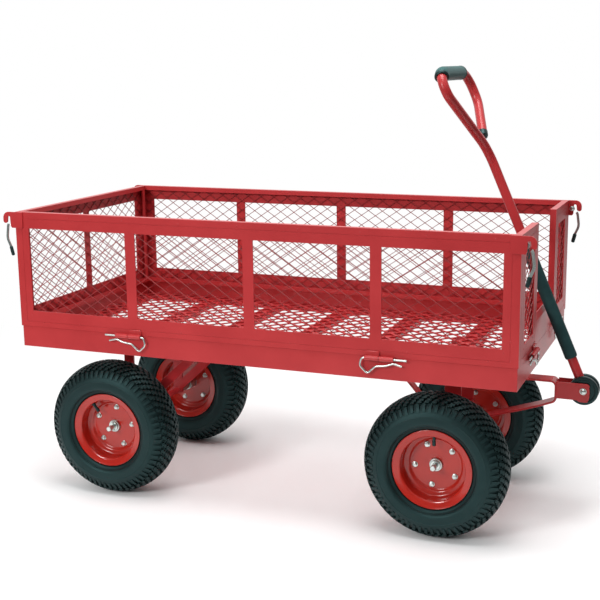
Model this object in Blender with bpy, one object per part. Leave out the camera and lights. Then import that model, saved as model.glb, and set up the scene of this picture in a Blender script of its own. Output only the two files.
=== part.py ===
"""Crate-sided garden cart: a mesh-floored steel deck with four folding mesh sides, pneumatic tyres, a steered front
axle and a loop-ended pull handle.

Metres, +X towards the handle, +Z up, ground at z = 0. The pieces are laid out from the deck's centre, and the "cart"
empty carries them all to the middle of the overall box. Left is +Y.
"""

from math import cos, pi, radians, sin, tan

import bmesh
import bpy
from mathutils import Matrix, Vector

GAP = 0.0003  # between touching pieces

# Deck
DECK_LENGTH = 1.22
DECK_WIDTH = 0.61
DECK_BOTTOM = 0.3835
DECK_RAIL = 0.051
RAIL_WALL = 0.003
RAIL_FOOT = 0.032
CROSS_WIDTH = 0.045
CROSS_DEPTH = 0.010
CROSS_WALL = 0.002
CROSS_COUNT = 5
CROSS_PITCH = 0.2
CROSS_OFFSET = 0.026  # the middle member's place ahead of the deck's centre
FLOOR_SHEET = 0.002

# Folding sides: pressed frames with a turned edge and lip, closed by a mesh sheet
PANEL_HEIGHT = 0.280
PANEL_DEPTH = 0.015
PANEL_WALL = 0.002
PANEL_LIP = 0.012
PANEL_PROUD = 0.002  # how far the panels stand proud of the deck rails
PANEL_STILE = 0.036
PANEL_RAIL = 0.039
PANEL_BAR = 0.026
MESH_SHEET = 0.0008
SIDE_BAR_PITCH = 0.3
CORNER_GAP = 0.002  # between a side and the end gate beside it
HANDLE_SLOT = 0.230  # between the two front half gates

# Hinges: rolled knuckles that share a spring clip as their pin
KNUCKLE_LENGTH = 0.033
KNUCKLE_RADIUS = 0.0055
KNUCKLE_WALL = 0.002
KNUCKLE_DROP = 0.0025  # the pin's line below the deck's top edge
KNUCKLE_TAB = 0.014
CLIP_WIRE = 0.0045
SIDE_HINGE_AT = 0.31
REAR_HINGE_AT = 0.15
FRONT_HINGE_AT = 0.155

# Corner latches
LATCH_REACH = 0.032
LATCH_OVERLAP = 0.022
LATCH_HEIGHT = 0.0385
LATCH_PLATE = 0.0033
LATCH_BOLT_OUT = 0.009
LATCH_BOLT_DOWN = 0.0205
LATCH_BOLT_RADIUS = 0.003

# Handle rest
REST_WALL = 0.0024
REST_SIDE_GAP = 0.0015  # to the half gate on either side
REST_BEND = 0.491
REST_HEIGHT = 0.5045
REST_LIP = 0.0053  # how far the top leans back

# Running gear
TYRE_RADIUS = 0.1685
TYRE_WIDTH = 0.110
TYRE_WALL = 0.006
SIDEWALL_RADIUS = 0.1135  # where the tyre is widest
OVAL = 0.85  # below 1 squares the tyre's section off
TRACK = 0.416
RIM_RADIUS = 0.0925
BARREL_RADIUS = 0.0765
RIM_HALF_WIDTH = 0.043
RIM_WALL = 0.0025
HUB_RADIUS = 0.015
HUB_BACK = 0.034
HUB_FRONT = 0.008
AXLE_RADIUS = 0.00635
REAR_AXLE_X = -0.421
FRONT_AXLE_X = 0.413
AXLE_TUBE = 0.030
AXLE_TUBE_END = 0.145
AXLE_TIP = 0.243
REAR_SHAFT_RADIUS = 0.008
POST_Y = 0.125
POST_HALF = 0.0135
POST_THICK = 0.006
FOOT_THICK = 0.005
STRUT_THICK = 0.004
STRUT_SLOPE = 0.92  # rise over run
STRUT_BELOW = 0.009  # how far the strut and post reach below the axle's middle
STRUT_BEHIND = 0.033
STRUT_AHEAD = 0.0013
TURNTABLE_Z = 0.3405  # the plane between the fixed and the steered plates
TURNTABLE_PLATE = 0.005
KINGPIN_RADIUS = 0.008
BRACE_FROM = 0.2085  # under the fourth cross member
BRACE_HALF_WIDTH = 0.0125
BRACE_THICK = 0.005
BRACE_STUD = 0.004  # on the steered axle, in the brace's foot

# Drawbar and handle
PIVOT_X = 0.708
PIVOT_Z = 0.314
DRAWBAR_HALF_WIDTH = 0.0205
DRAWBAR_THICK = 0.005
CLEVIS_PLATE = 0.003
HANDLE_HUB_RADIUS = 0.034
HANDLE_HUB_WIDTH = 0.033
HANDLE_LEAN = radians(23.5)
HANDLE_TUBE = 0.011
HANDLE_STRAIGHT = 0.598
HANDLE_TOP = 0.786
HANDLE_BOLT = 0.005
GRIP_RADIUS = 0.016
GRIP_LENGTH = 0.180
FOAM_RADIUS = 0.0145
FOAM_FROM = 0.080
FOAM_TO = 0.355

DECK_TOP = DECK_BOTTOM + DECK_RAIL
FLOOR_Z = DECK_BOTTOM + RAIL_WALL + GAP + CROSS_DEPTH
PANEL_BOTTOM = DECK_TOP + GAP
PANEL_TOP = PANEL_BOTTOM + PANEL_HEIGHT
SIDE_FACE = DECK_WIDTH / 2 + PANEL_PROUD
END_FACE = DECK_LENGTH / 2 + PANEL_PROUD
GATE_HALF_WIDTH = SIDE_FACE - PANEL_DEPTH - CORNER_GAP
HINGE_OUT = KNUCKLE_RADIUS + 0.001
HINGE_Z = DECK_TOP - KNUCKLE_DROP
WHEEL_Y = TRACK / 2
CART_CENTRE = (PIVOT_X + HANDLE_HUB_RADIUS - END_FACE - LATCH_REACH) / 2

SIDES = {"left": 1, "right": -1}
ENDS = {"front": 1, "rear": -1}


# ---------------------------------------------------------------- places

def side_place(side):
    """(along, outward from the panel's face, height) on a long side, in deck coordinates."""
    sign = SIDES[side]
    return lambda along, out, up: Vector((along, sign * (SIDE_FACE + out), up))


def end_place(end):
    """(across, outward from the gate's face, height) on an end, in deck coordinates."""
    sign = ENDS[end]
    return lambda along, out, up: Vector((sign * (END_FACE + out), along, up))


def deck_place(x, y, z):
    """Plain deck coordinates, for pieces that lie across the cart."""
    return Vector((x, y, z))


def empty(name, at, parent=None):
    """An axis or centre that pieces hang from; `at` is in deck coordinates."""
    obj = bpy.data.objects.new(name, None)
    bpy.context.collection.objects.link(obj)
    obj["at"] = at
    base = Vector(parent["at"]) if parent else Vector((0, 0, 0))
    obj.parent = parent
    obj.location = Vector(at) - base
    return obj


# ---------------------------------------------------------------- shapes

def lattice(alongs, outs, ups, solid, place):
    """The closed skin of the grid cells whose middles are solid."""
    bm = bmesh.new()
    grid = (alongs, outs, ups)
    counts = [len(lines) - 1 for lines in grid]

    def middle(cell):
        return [(lines[n] + lines[n + 1]) / 2 for lines, n in zip(grid, cell)]

    cells = {
        (i, j, k)
        for i in range(counts[0])
        for j in range(counts[1])
        for k in range(counts[2])
        if solid(*middle((i, j, k)))
    }
    corners = {}

    def corner(key):
        if key not in corners:
            corners[key] = bm.verts.new(place(*(lines[n] for lines, n in zip(grid, key))))
        return corners[key]

    for cell in cells:
        for axis in range(3):
            b, c = (axis + 1) % 3, (axis + 2) % 3
            for step in (0, 1):
                beside = list(cell)
                beside[axis] += 2 * step - 1
                if tuple(beside) in cells:
                    continue
                ring = []
                for db, dc in ((0, 0), (1, 0), (1, 1), (0, 1)):
                    key = list(cell)
                    key[axis] += step
                    key[b] += db
                    key[c] += dc
                    ring.append(corner(tuple(key)))
                bm.faces.new(ring)
    bmesh.ops.recalc_face_normals(bm, faces=bm.faces)
    bmesh.ops.dissolve_limit(bm, angle_limit=radians(0.1), verts=bm.verts, edges=bm.edges)
    return bm


def prism(outline, low, high, place):
    """An outline of (a, b) points drawn out between two depths; place(a, depth, b) sets each corner."""
    bm = bmesh.new()
    near, far = ([bm.verts.new(place(a, depth, b)) for a, b in outline] for depth in (low, high))
    bm.faces.new(near)
    bm.faces.new(far)
    for n in range(len(outline)):
        bm.faces.new((near[n - 1], near[n], far[n], far[n - 1]))
    return bm


def turned(profile, centre, axis, sides):
    """A closed loop of (radius, along) points turned about an axis; two points at radius 0 end a solid shaft."""
    bm = bmesh.new()
    turn = Vector((0, 0, 1)).rotation_difference(Vector(axis)).to_matrix()
    rings = []
    for radius, along in profile:
        steps = range(sides) if radius > 0 else (0,)
        spots = [Vector((radius * cos(2 * pi * n / sides), radius * sin(2 * pi * n / sides), along)) for n in steps]
        rings.append([bm.verts.new(turn @ spot + Vector(centre)) for spot in spots])
    for first, second in zip(rings, rings[1:] + rings[:1]):
        for n in range(sides):
            m = (n + 1) % sides
            if len(first) > 1 and len(second) > 1:
                bm.faces.new((first[n], first[m], second[m], second[n]))
            elif len(first) > 1:
                bm.faces.new((first[n], first[m], second[0]))
            elif len(second) > 1:
                bm.faces.new((first[0], second[m], second[n]))
    return bm


def swept(path, radius, sides, bore=0.0):
    """A round bar along a path, or a sleeve where a bore is given."""
    bm = bmesh.new()
    path = [Vector(p) for p in path]
    radii = [radius, bore] if bore else [radius]
    loops = [[] for _ in radii]
    normal = None
    for n, point in enumerate(path):
        before, after = path[max(n - 1, 0)], path[min(n + 1, len(path) - 1)]
        tangent = (after - point).normalized() + (point - before).normalized()
        tangent.normalize()
        if normal is None:
            normal = tangent.orthogonal()
        normal = (normal - tangent * normal.dot(tangent)).normalized()
        other = tangent.cross(normal)
        for loop, r in zip(loops, radii):
            angles = [2 * pi * (k + 0.5) / sides for k in range(sides)]
            loop.append([bm.verts.new(point + r * (cos(a) * normal + sin(a) * other)) for a in angles])
    for loop in loops:
        for first, second in zip(loop, loop[1:]):
            for k in range(sides):
                bm.faces.new((first[k - 1], first[k], second[k], second[k - 1]))
    for end in (0, -1):
        if bore:
            outer, inner = loops[0][end], loops[1][end]
            for k in range(sides):
                bm.faces.new((outer[k - 1], outer[k], inner[k], inner[k - 1]))
        else:
            bm.faces.new(loops[0][end])
    return bm


def rounded(corners, steps=4):
    """A path of (x, y) points from corners of (x, y, radius), each turned into an arc."""
    points = [Vector(corners[0][:2])]
    for before, (x, y, radius), after in zip(corners, corners[1:], corners[2:]):
        here = Vector((x, y))
        back = (Vector(before[:2]) - here).normalized()
        ahead = (Vector(after[:2]) - here).normalized()
        half = back.angle(ahead) / 2
        centre = here + (back + ahead).normalized() * radius / sin(half)
        start = here + back * radius / tan(half) - centre
        sweep = start.angle_signed(here + ahead * radius / tan(half) - centre)
        for n in range(steps + 1):
            points.append(centre + Matrix.Rotation(-sweep * n / steps, 2) @ start)
    points.append(Vector(corners[-1][:2]))
    return points


def strip(path, thickness):
    """The outline of a bent flat strip: the path stepped out by half its thickness to both sides."""
    path = [Vector(p) for p in path]
    edges = ([], [])
    for n, point in enumerate(path):
        before, after = path[max(n - 1, 0)], path[min(n + 1, len(path) - 1)]
        into = (point - before).normalized() if n else (after - point).normalized()
        out = (after - point).normalized() if n < len(path) - 1 else into
        across = Vector((-(into + out).y, (into + out).x)).normalized()
        reach = thickness / 2 / max(across.dot(Vector((-into.y, into.x))), 0.5)
        edges[0].append(point + across * reach)
        edges[1].append(point - across * reach)
    return edges[0] + edges[1][::-1]


def arc(centre, radius, start, end, steps):
    """Points on an arc between two angles in degrees."""
    angles = [radians(start + (end - start) * n / steps) for n in range(steps + 1)]
    return [(centre[0] + radius * cos(a), centre[1] + radius * sin(a)) for a in angles]


def part_of_path(path, start, end):
    """The stretch of a path between two distances from its first point."""
    out, done = [], 0.0
    for here, there in zip(path, path[1:]):
        length = (there - here).length
        for mark in (start, end):
            if done < mark <= done + length:
                out.append(here.lerp(there, (mark - done) / length))
        if start < done + length < end:
            out.append(there)
        done += length
    return out


# ---------------------------------------------------------------- objects

def add(name, bm, material, pivot):
    """Make the shape an object that hangs from the empty on its axis."""
    bmesh.ops.recalc_face_normals(bm, faces=bm.faces)
    bmesh.ops.translate(bm, verts=bm.verts, vec=-Vector(pivot["at"]))
    mesh = bpy.data.meshes.new(name)
    bm.to_mesh(mesh)
    bm.free()
    mesh.materials.append(material)
    mesh.shade_smooth()
    mesh.set_sharp_from_angle(angle=radians(35))
    obj = bpy.data.objects.new(name, mesh)
    bpy.context.collection.objects.link(obj)
    obj.parent = pivot
    return obj


def combine(obj, shapes, operation):
    """Weld shapes onto an object, or cut them out of it."""
    pivot, material = obj.parent, obj.data.materials[0]
    tools = [add(f"{obj.name}_tool", bm, material, pivot) for bm in shapes]
    for tool in tools:
        change = obj.modifiers.new(operation.lower(), "BOOLEAN")
        change.operation = operation
        change.solver = "EXACT"
        change.object = tool
    bpy.context.view_layer.update()
    welded = bpy.data.meshes.new_from_object(obj.evaluated_get(bpy.context.evaluated_depsgraph_get()))
    obj.modifiers.clear()
    obj.data = welded
    for tool in tools:
        bpy.data.objects.remove(tool)
    return obj


def weld(obj, *shapes):
    return combine(obj, shapes, "UNION")


def cut(obj, *shapes):
    return combine(obj, shapes, "DIFFERENCE")


def box(low, high, place=deck_place):
    """A plain block between two corners."""
    return lattice(*([a, b] for a, b in zip(low, high)), lambda *_: True, place)


def rod(centre, axis, radius, half_length, sides=16):
    return turned([(0, -half_length), (radius, -half_length), (radius, half_length), (0, half_length)],
                  centre, axis, sides)


def paint(name, colour, roughness, metallic=0.0):
    material = bpy.data.materials.new(name)
    material.use_nodes = True
    shader = material.node_tree.nodes["Principled BSDF"]
    shader.inputs["Base Color"].default_value = (*colour, 1)
    shader.inputs["Roughness"].default_value = roughness
    shader.inputs["Metallic"].default_value = metallic
    material.diffuse_color = (*colour, 1)
    return material


# ---------------------------------------------------------------- deck

def build_deck(cart, red):
    """Angle-iron tray, five channel cross members and the expanded-metal floor lying on them."""
    half_x, half_y = DECK_LENGTH / 2, DECK_WIDTH / 2
    foot_z = DECK_BOTTOM + RAIL_WALL

    def solid(x, y, z):
        inset = min(half_x - abs(x), half_y - abs(y))
        return inset < RAIL_WALL or (inset < RAIL_FOOT and z < foot_z)

    def lines(half):
        edges = [half, half - RAIL_WALL, half - RAIL_FOOT]
        return [-e for e in edges] + edges[::-1]

    tray = lattice(lines(half_x), lines(half_y), [DECK_BOTTOM, foot_z, DECK_TOP], solid, deck_place)
    deck = add("deck_frame", tray, red, cart)
    knuckles = [deck_knuckle(side_place(side), end * SIDE_HINGE_AT, end) for side in SIDES for end in (-1, 1)]
    knuckles += [deck_knuckle(end_place("rear"), side * REAR_HINGE_AT, side) for side in (-1, 1)]
    knuckles += [deck_knuckle(end_place("front"), side * FRONT_HINGE_AT, side) for side in (-1, 1)]
    weld(deck, *knuckles)

    inner_y = half_y - RAIL_WALL - GAP
    low = foot_z + GAP
    for n in range(CROSS_COUNT):
        middle = CROSS_OFFSET + (n - (CROSS_COUNT - 1) / 2) * CROSS_PITCH
        edge = CROSS_WIDTH / 2
        outline = [(-edge, low), (-edge, FLOOR_Z), (edge, FLOOR_Z), (edge, low), (edge - CROSS_WALL, low),
                   (edge - CROSS_WALL, FLOOR_Z - CROSS_WALL), (-edge + CROSS_WALL, FLOOR_Z - CROSS_WALL),
                   (-edge + CROSS_WALL, low)]
        add(f"cross_member_{n + 1}", prism([(middle + x, z) for x, z in outline], -inner_y, inner_y, deck_place),
            red, cart)

    inner_x = half_x - RAIL_WALL - GAP
    floor_low = FLOOR_Z + GAP
    add("floor_mesh", box((-inner_x, -inner_y, floor_low), (inner_x, inner_y, floor_low + FLOOR_SHEET)), red, cart)


def build_handle_rest(cart, red):
    """Plate standing on the front rail between the half gates, its top bent back where the handle leans."""
    middle, half = DECK_LENGTH / 2 - REST_WALL / 2, HANDLE_SLOT / 2 - REST_SIDE_GAP
    path = [(middle, DECK_TOP + GAP), (middle, REST_BEND), (middle - REST_LIP, REST_HEIGHT)]
    add("handle_rest_plate", prism(strip(path, REST_WALL), -half, half, deck_place), red, cart)


# ---------------------------------------------------------------- hinges

def rolled(direction):
    """A strip that lies on a face and rolls round the hinge's line; direction 1 climbs from it, -1 hangs below."""
    middle = KNUCKLE_RADIUS - KNUCKLE_WALL / 2
    roll = arc((HINGE_OUT, HINGE_Z), middle, 180, 180 + direction * 320, 8)
    tab = (HINGE_OUT - middle, HINGE_Z + direction * KNUCKLE_TAB)
    return strip([tab] + roll, KNUCKLE_WALL)


def along_hinge(place):
    """Turn (outward, along, up) into the place's own (along, outward, up)."""
    return lambda out, along, up: place(along, out, up)


def foot_block(place, along, low_out, high_out, direction):
    """The weld that joins a knuckle's strip to the sheet behind it."""
    near, far = HINGE_Z + direction * 0.006, HINGE_Z + direction * (KNUCKLE_TAB - 0.001)
    return box((along[0] + 0.002, low_out, min(near, far)), (along[1] - 0.002, high_out, max(near, far)), place)


def panel_knuckle(place, at, outboard):
    """The leaf on the panel: its half of the hinge lies inboard of the joint."""
    along = sorted((at - outboard * 0.0005, at - outboard * KNUCKLE_LENGTH))
    shift = HINGE_OUT - KNUCKLE_RADIUS
    return [prism(rolled(1), *along, along_hinge(place)),
            foot_block(place, along, -PANEL_WALL / 2, shift + KNUCKLE_WALL / 2, 1)]


def deck_knuckle(place, at, outboard):
    """The leaf on the deck rail, outboard of the joint, with its foot run back to the rail."""
    along = sorted((at + outboard * 0.0005, at + outboard * KNUCKLE_LENGTH))
    middle = KNUCKLE_RADIUS - KNUCKLE_WALL / 2
    back = -PANEL_PROUD - RAIL_WALL / 2
    roll = arc((HINGE_OUT, HINGE_Z), middle, 200, 520, 8)
    path = [(back, HINGE_Z - 0.0075), (HINGE_OUT - middle - 0.0005, HINGE_Z - 0.0075)] + roll
    return prism(strip(path, KNUCKLE_WALL), *along, along_hinge(place))


def hinge_clip(name, place, at, outboard, zinc, pivot):
    """Spring clip: a straight leg through both knuckles and a waved leg below them."""
    corners = [(0.063, 0, 0), (-0.040, 0, 0.006), (-0.045, -0.018, 0.006), (-0.027, -0.035, 0.006),
               (-0.008, -0.0175, 0.010), (0.016, -0.0145, 0.012), (0.032, -0.0085, 0.010), (0.052, -0.0135, 0)]
    path = [place(at + outboard * along, HINGE_OUT, HINGE_Z + up) for along, up in rounded(corners, 1)]
    add(name, swept(path, CLIP_WIRE / 2, 6), zinc, pivot)


# ---------------------------------------------------------------- sides and gates

def panel_frame(low, high, bars, place):
    """Pressed frame between two ends: face sheet with windows, turned edge all round and a lip behind it."""
    half_bar = PANEL_BAR / 2

    def inset(along, up):
        return min(along - low, high - along), min(up - PANEL_BOTTOM, PANEL_TOP - up)

    def solid(along, out, up):
        side, rail = inset(along, up)
        edge = min(side, rail)
        if out > -PANEL_WALL:
            return side < PANEL_STILE or rail < PANEL_RAIL or any(abs(along - bar) < half_bar for bar in bars)
        return edge < PANEL_WALL or (edge < PANEL_LIP and out < PANEL_WALL - PANEL_DEPTH)

    ends = [0, PANEL_WALL, PANEL_LIP, PANEL_STILE]
    alongs = [low + e for e in ends] + [b + s for b in bars for s in (-half_bar, half_bar)]
    alongs += [high - e for e in ends[::-1]]
    rails = [0, PANEL_WALL, PANEL_LIP, PANEL_RAIL]
    ups = [PANEL_BOTTOM + r for r in rails] + [PANEL_TOP - r for r in rails[::-1]]
    outs = [-PANEL_DEPTH, PANEL_WALL - PANEL_DEPTH, -PANEL_WALL, 0]
    return lattice(alongs, outs, ups, solid, place)


def panel_mesh(low, high, place):
    """The sheet held in the frame's channel, just behind the face."""
    margin = PANEL_WALL + 0.001
    front = -PANEL_WALL - GAP
    return box((low + margin, front - MESH_SHEET, PANEL_BOTTOM + margin), (high - margin, front, PANEL_TOP - margin),
               place)


def latch_bracket(end):
    """Corner plate on a long side that reaches past the end gate and turns down again as a hook."""
    top = PANEL_TOP - GAP
    gap_in, gap_out, knob = 0.0125, 0.0190, 0.0060
    middle = LATCH_REACH - knob
    crown = 0.015
    outline = [(-LATCH_OVERLAP, top), (-LATCH_OVERLAP, top - LATCH_HEIGHT), (gap_in - 0.002, top - LATCH_HEIGHT),
               (gap_in, top - 0.018)]
    outline += arc(((gap_in + gap_out) / 2, top - 0.0135), (gap_out - gap_in) / 2, 180, 0, 4)
    outline += arc((middle, top - 0.0215), knob, 180, 360, 5)
    outline += arc((LATCH_REACH - crown, top - crown), crown, 0, 90, 5)
    return [(end * (END_FACE + x), z) for x, z in outline]


def build_side(side, cart, red, zinc):
    """One long side with its clips, corner brackets and latches."""
    place = side_place(side)
    hinge = empty(f"{side}_side_hinge", place(0, HINGE_OUT, HINGE_Z), cart)
    bars = [n * SIDE_BAR_PITCH for n in (-1, 0, 1)]
    frame = add(f"side_frame_{side}", panel_frame(-END_FACE, END_FACE, bars, place), red, hinge)
    welds = []
    for end in (-1, 1):
        welds += panel_knuckle(place, end * SIDE_HINGE_AT, end)
        welds.append(prism(latch_bracket(end), -PANEL_WALL / 4, LATCH_PLATE, place))
    weld(frame, *welds)
    bolts = [bolt_centre(place, end) for end in (-1, 1)]
    cut(frame, *(rod(at, (0, 1, 0), LATCH_BOLT_RADIUS + 2 * GAP, 0.008, 12) for at in bolts))
    add(f"side_mesh_{side}", panel_mesh(-END_FACE, END_FACE, place), red, hinge)
    for end_name, end in ENDS.items():
        tag = f"{end_name}_{side}"
        hinge_clip(f"hinge_clip_{tag}", place, end * SIDE_HINGE_AT, end, zinc, cart)
        build_latch(tag, place, end, hinge, zinc)


def bolt_centre(place, end):
    return place(end * (END_FACE + LATCH_BOLT_OUT), 0, PANEL_TOP - LATCH_BOLT_DOWN)


def build_latch(tag, place, end, hinge, zinc):
    """Stud set flush in the bracket, and the bent lever that hangs from it behind the plate."""
    centre = bolt_centre(place, end)
    lever_face = -GAP - PANEL_WALL / 4
    lever_back = lever_face - 0.0025
    nut_face = lever_back - GAP
    out = place(0, 1, 0) - place(0, 0, 0)
    profile = [(0, nut_face - 0.005), (0.0065, nut_face - 0.005), (0.0065, nut_face), (LATCH_BOLT_RADIUS, nut_face),
               (LATCH_BOLT_RADIUS, LATCH_PLATE), (0, LATCH_PLATE)]
    add(f"latch_bolt_{tag}", turned(profile, centre, out, 12), zinc, hinge)

    pivot = empty(f"latch_{tag}_axis", centre, hinge)
    eye, width = 0.0062, 0.0062
    blade = [(0.0, 0.0, 0), (0.0135, -0.012, 0.010), (0.0180, -0.045, 0.030), (0.0085, -0.066, 0)]
    dip = [(0.0092, -0.0645), (0.0035, -0.0870)]

    def outline(path, thickness):
        return [(centre.x + end * x, centre.z + z) for x, z in strip(path, thickness)]

    def depth(x, out, z):
        return place(x, out, z)

    lever = add(f"latch_lever_{tag}", prism(outline(rounded(blade, 4), width), lever_back, lever_face, depth),
                zinc, pivot)
    middle = depth(centre.x, (lever_back + lever_face) / 2, centre.z)
    weld(lever,
         turned([(0, lever_back), (eye, lever_back), (eye, lever_face), (0, lever_face)], centre, out, 16),
         prism(outline(dip, 0.0095), lever_back - 0.0012, lever_face + 0.0004, depth))
    cut(lever, rod(middle, (0, 1, 0), LATCH_BOLT_RADIUS + 2 * GAP, 0.004, 12))


def build_gate(name, place, low, high, bars, hinges, cart, red, zinc):
    """One end gate: frame, mesh and the clips it turns on, named by suffix and placed across the gate."""
    hinge = empty(f"{name}_hinge", place(0, HINGE_OUT, HINGE_Z), cart)
    frame = add(f"{name}_frame", panel_frame(low, high, bars, place), red, hinge)
    welds = []
    for suffix, at in hinges.items():
        outboard = 1 if at > 0 else -1
        welds += panel_knuckle(place, at, outboard)
        hinge_clip(f"hinge_clip_{name}{suffix}", place, at, outboard, zinc, cart)
    weld(frame, *welds)
    add(f"{name}_mesh", panel_mesh(low, high, place), red, hinge)


def build_gates(cart, red, zinc):
    build_gate("rear_gate", end_place("rear"), -GATE_HALF_WIDTH, GATE_HALF_WIDTH, [0],
               {"_right": -REAR_HINGE_AT, "_left": REAR_HINGE_AT}, cart, red, zinc)
    place = end_place("front")
    for side, sign in SIDES.items():
        low, high = sorted((sign * HANDLE_SLOT / 2, sign * GATE_HALF_WIDTH))
        build_gate(f"front_gate_{side}", place, low, high, [], {"": sign * FRONT_HINGE_AT}, cart, red, zinc)


# ---------------------------------------------------------------- running gear

def build_wheel(tag, x, sign, parent, red, rubber, zinc):
    """Pneumatic tyre on a two-piece pressed rim with a bearing hub, measured out from the wheel's middle."""
    centre = Vector((x, sign * WHEEL_Y, TYRE_RADIUS))
    axle = empty(f"wheel_{tag}_axis", centre, parent)
    axis = (0, sign, 0)
    half = TYRE_WIDTH / 2
    bead = BARREL_RADIUS + RIM_WALL + GAP

    def carcass(inward, angles):
        """Half of the tyre's section: a full oval from the tread's middle round to the sidewall, then the bead."""
        width, height = half - inward, TYRE_RADIUS - SIDEWALL_RADIUS - inward
        oval = [(SIDEWALL_RADIUS + height * cos(radians(a)) ** OVAL, width * sin(radians(a)) ** OVAL) for a in angles]
        return oval + [(RIM_RADIUS + 0.009, 0.86 * width), (RIM_RADIUS + 0.002, RIM_HALF_WIDTH - 0.0045 - inward),
                       (bead + inward / 2, RIM_HALF_WIDTH - 0.0085 - inward)]

    outer, inner = carcass(0.0, (0, 22, 45, 65, 90)), carcass(TYRE_WALL, (0, 45, 90))
    profile = [(r, -u) for r, u in outer[:0:-1]] + outer + inner[::-1] + [(r, -u) for r, u in inner[1:]]
    add(f"tyre_{tag}", turned(profile, centre, axis, 24), rubber, axle)

    dish = [(HUB_RADIUS + GAP, RIM_WALL), (0.060, RIM_WALL), (0.066, 0.009), (BARREL_RADIUS, 0.012),
            (BARREL_RADIUS, RIM_HALF_WIDTH - 0.003), (RIM_RADIUS, RIM_HALF_WIDTH),
            (RIM_RADIUS, RIM_HALF_WIDTH - RIM_WALL - 0.001), (BARREL_RADIUS + RIM_WALL, RIM_HALF_WIDTH - 0.007)]
    add(f"rim_{tag}", turned(dish + [(r, -u) for r, u in dish[::-1]], centre, axis, 24), red, axle)

    bore = AXLE_RADIUS + 0.0008
    add(f"wheel_hub_{tag}", turned([(bore, -HUB_BACK), (HUB_RADIUS, -HUB_BACK), (HUB_RADIUS, HUB_FRONT),
                                    (bore, HUB_FRONT)], centre, axis, 12), zinc, axle)


def stub(x, sign):
    """The turned end of an axle: shoulder, journal and the washer that holds the wheel on."""
    start, collar = AXLE_TUBE_END - 0.005, 0.0115
    inner, outer = WHEEL_Y - HUB_BACK - 0.001, WHEEL_Y + HUB_FRONT + 0.001
    profile = [(0, start), (collar, start), (collar, inner), (AXLE_RADIUS, inner), (AXLE_RADIUS, outer),
               (collar, outer), (collar, outer + 0.002), (AXLE_RADIUS, outer + 0.002), (AXLE_RADIUS, AXLE_TIP),
               (0, AXLE_TIP)]
    return turned(profile, (x, 0, TYRE_RADIUS), (0, sign, 0), 12)


def build_rear_axle(cart, red):
    """Round cross shaft held at each side by a post under a foot plate and a flat strut that runs up forwards."""
    x, low = REAR_AXLE_X, TYRE_RADIUS - STRUT_BELOW
    high = DECK_BOTTOM + RAIL_WALL
    run = (high - low) / STRUT_SLOPE
    strut = [(x - STRUT_BEHIND, low), (x + STRUT_AHEAD, low), (x + STRUT_AHEAD + run, high),
             (x - STRUT_BEHIND + run, high)]
    axle = add("rear_axle", rod((x, 0, TYRE_RADIUS), (0, 1, 0), REAR_SHAFT_RADIUS, AXLE_TUBE_END), red, cart)
    shapes = [stub(x, sign) for sign in (-1, 1)]
    for sign in (-1, 1):
        post = sorted((sign * POST_Y, sign * (POST_Y + POST_THICK)))
        flat = sorted((sign * (POST_Y - STRUT_THICK), sign * (POST_Y + 0.0002)))
        foot = sorted((sign * (POST_Y - 0.010), sign * (POST_Y + 0.016)))
        shapes += [box((x - POST_HALF, post[0], low), (x + POST_HALF, post[1], high - 0.001)),
                   box((x - 0.030, foot[0], high - FOOT_THICK), (x + 0.070, foot[1], high)),
                   prism(strut, *flat, deck_place)]
    weld(axle, *shapes)


def build_front_mount(cart, red, zinc):
    """Hat-section bracket under the deck, the brace that holds the axle's middle from behind, and the kingpin."""
    x = FRONT_AXLE_X
    top = DECK_BOTTOM + RAIL_WALL
    low, wall, half_x = TURNTABLE_Z + 0.001, TURNTABLE_PLATE, 0.040
    web, wing = 0.075, 0.110

    def solid(_, y, z):
        return (z < low + wall and abs(y) < web) or web - wall < abs(y) < web or (z > top - wall and abs(y) > web)

    ys = [web - wall, web, wing]
    mount = add("front_axle_mount", lattice([x - half_x, x + half_x], [-y for y in ys[::-1]] + ys,
                                            [low, low + wall, top - wall, top], solid, deck_place), red, cart)
    cut(mount, rod((x, 0, low), (0, 0, 1), KINGPIN_RADIUS + 2 * GAP, 0.02))
    foot = TYRE_RADIUS + AXLE_TUBE / 2 + GAP + BRACE_THICK / 2
    path = [(BRACE_FROM, top - 0.0018), (x - 0.0305, foot), (x + 0.009, foot)]
    brace = add("front_brace", prism(strip(path, BRACE_THICK), -BRACE_HALF_WIDTH, BRACE_HALF_WIDTH, deck_place), red,
                cart)
    cut(brace, rod((x, 0, foot), (0, 0, 1), BRACE_STUD + 2 * GAP, 0.008, 12))

    head, under = 0.013, TURNTABLE_Z - 0.001 - TURNTABLE_PLATE
    over = low + wall
    profile = [(0, under - 0.009), (head, under - 0.009), (head, under - GAP), (KINGPIN_RADIUS, under - GAP),
               (KINGPIN_RADIUS, over + GAP), (head, over + GAP), (head, over + 0.008), (0, over + 0.008)]
    add("kingpin", turned(profile, (x, 0, 0), (0, 0, 1), 16), zinc, cart)


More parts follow.
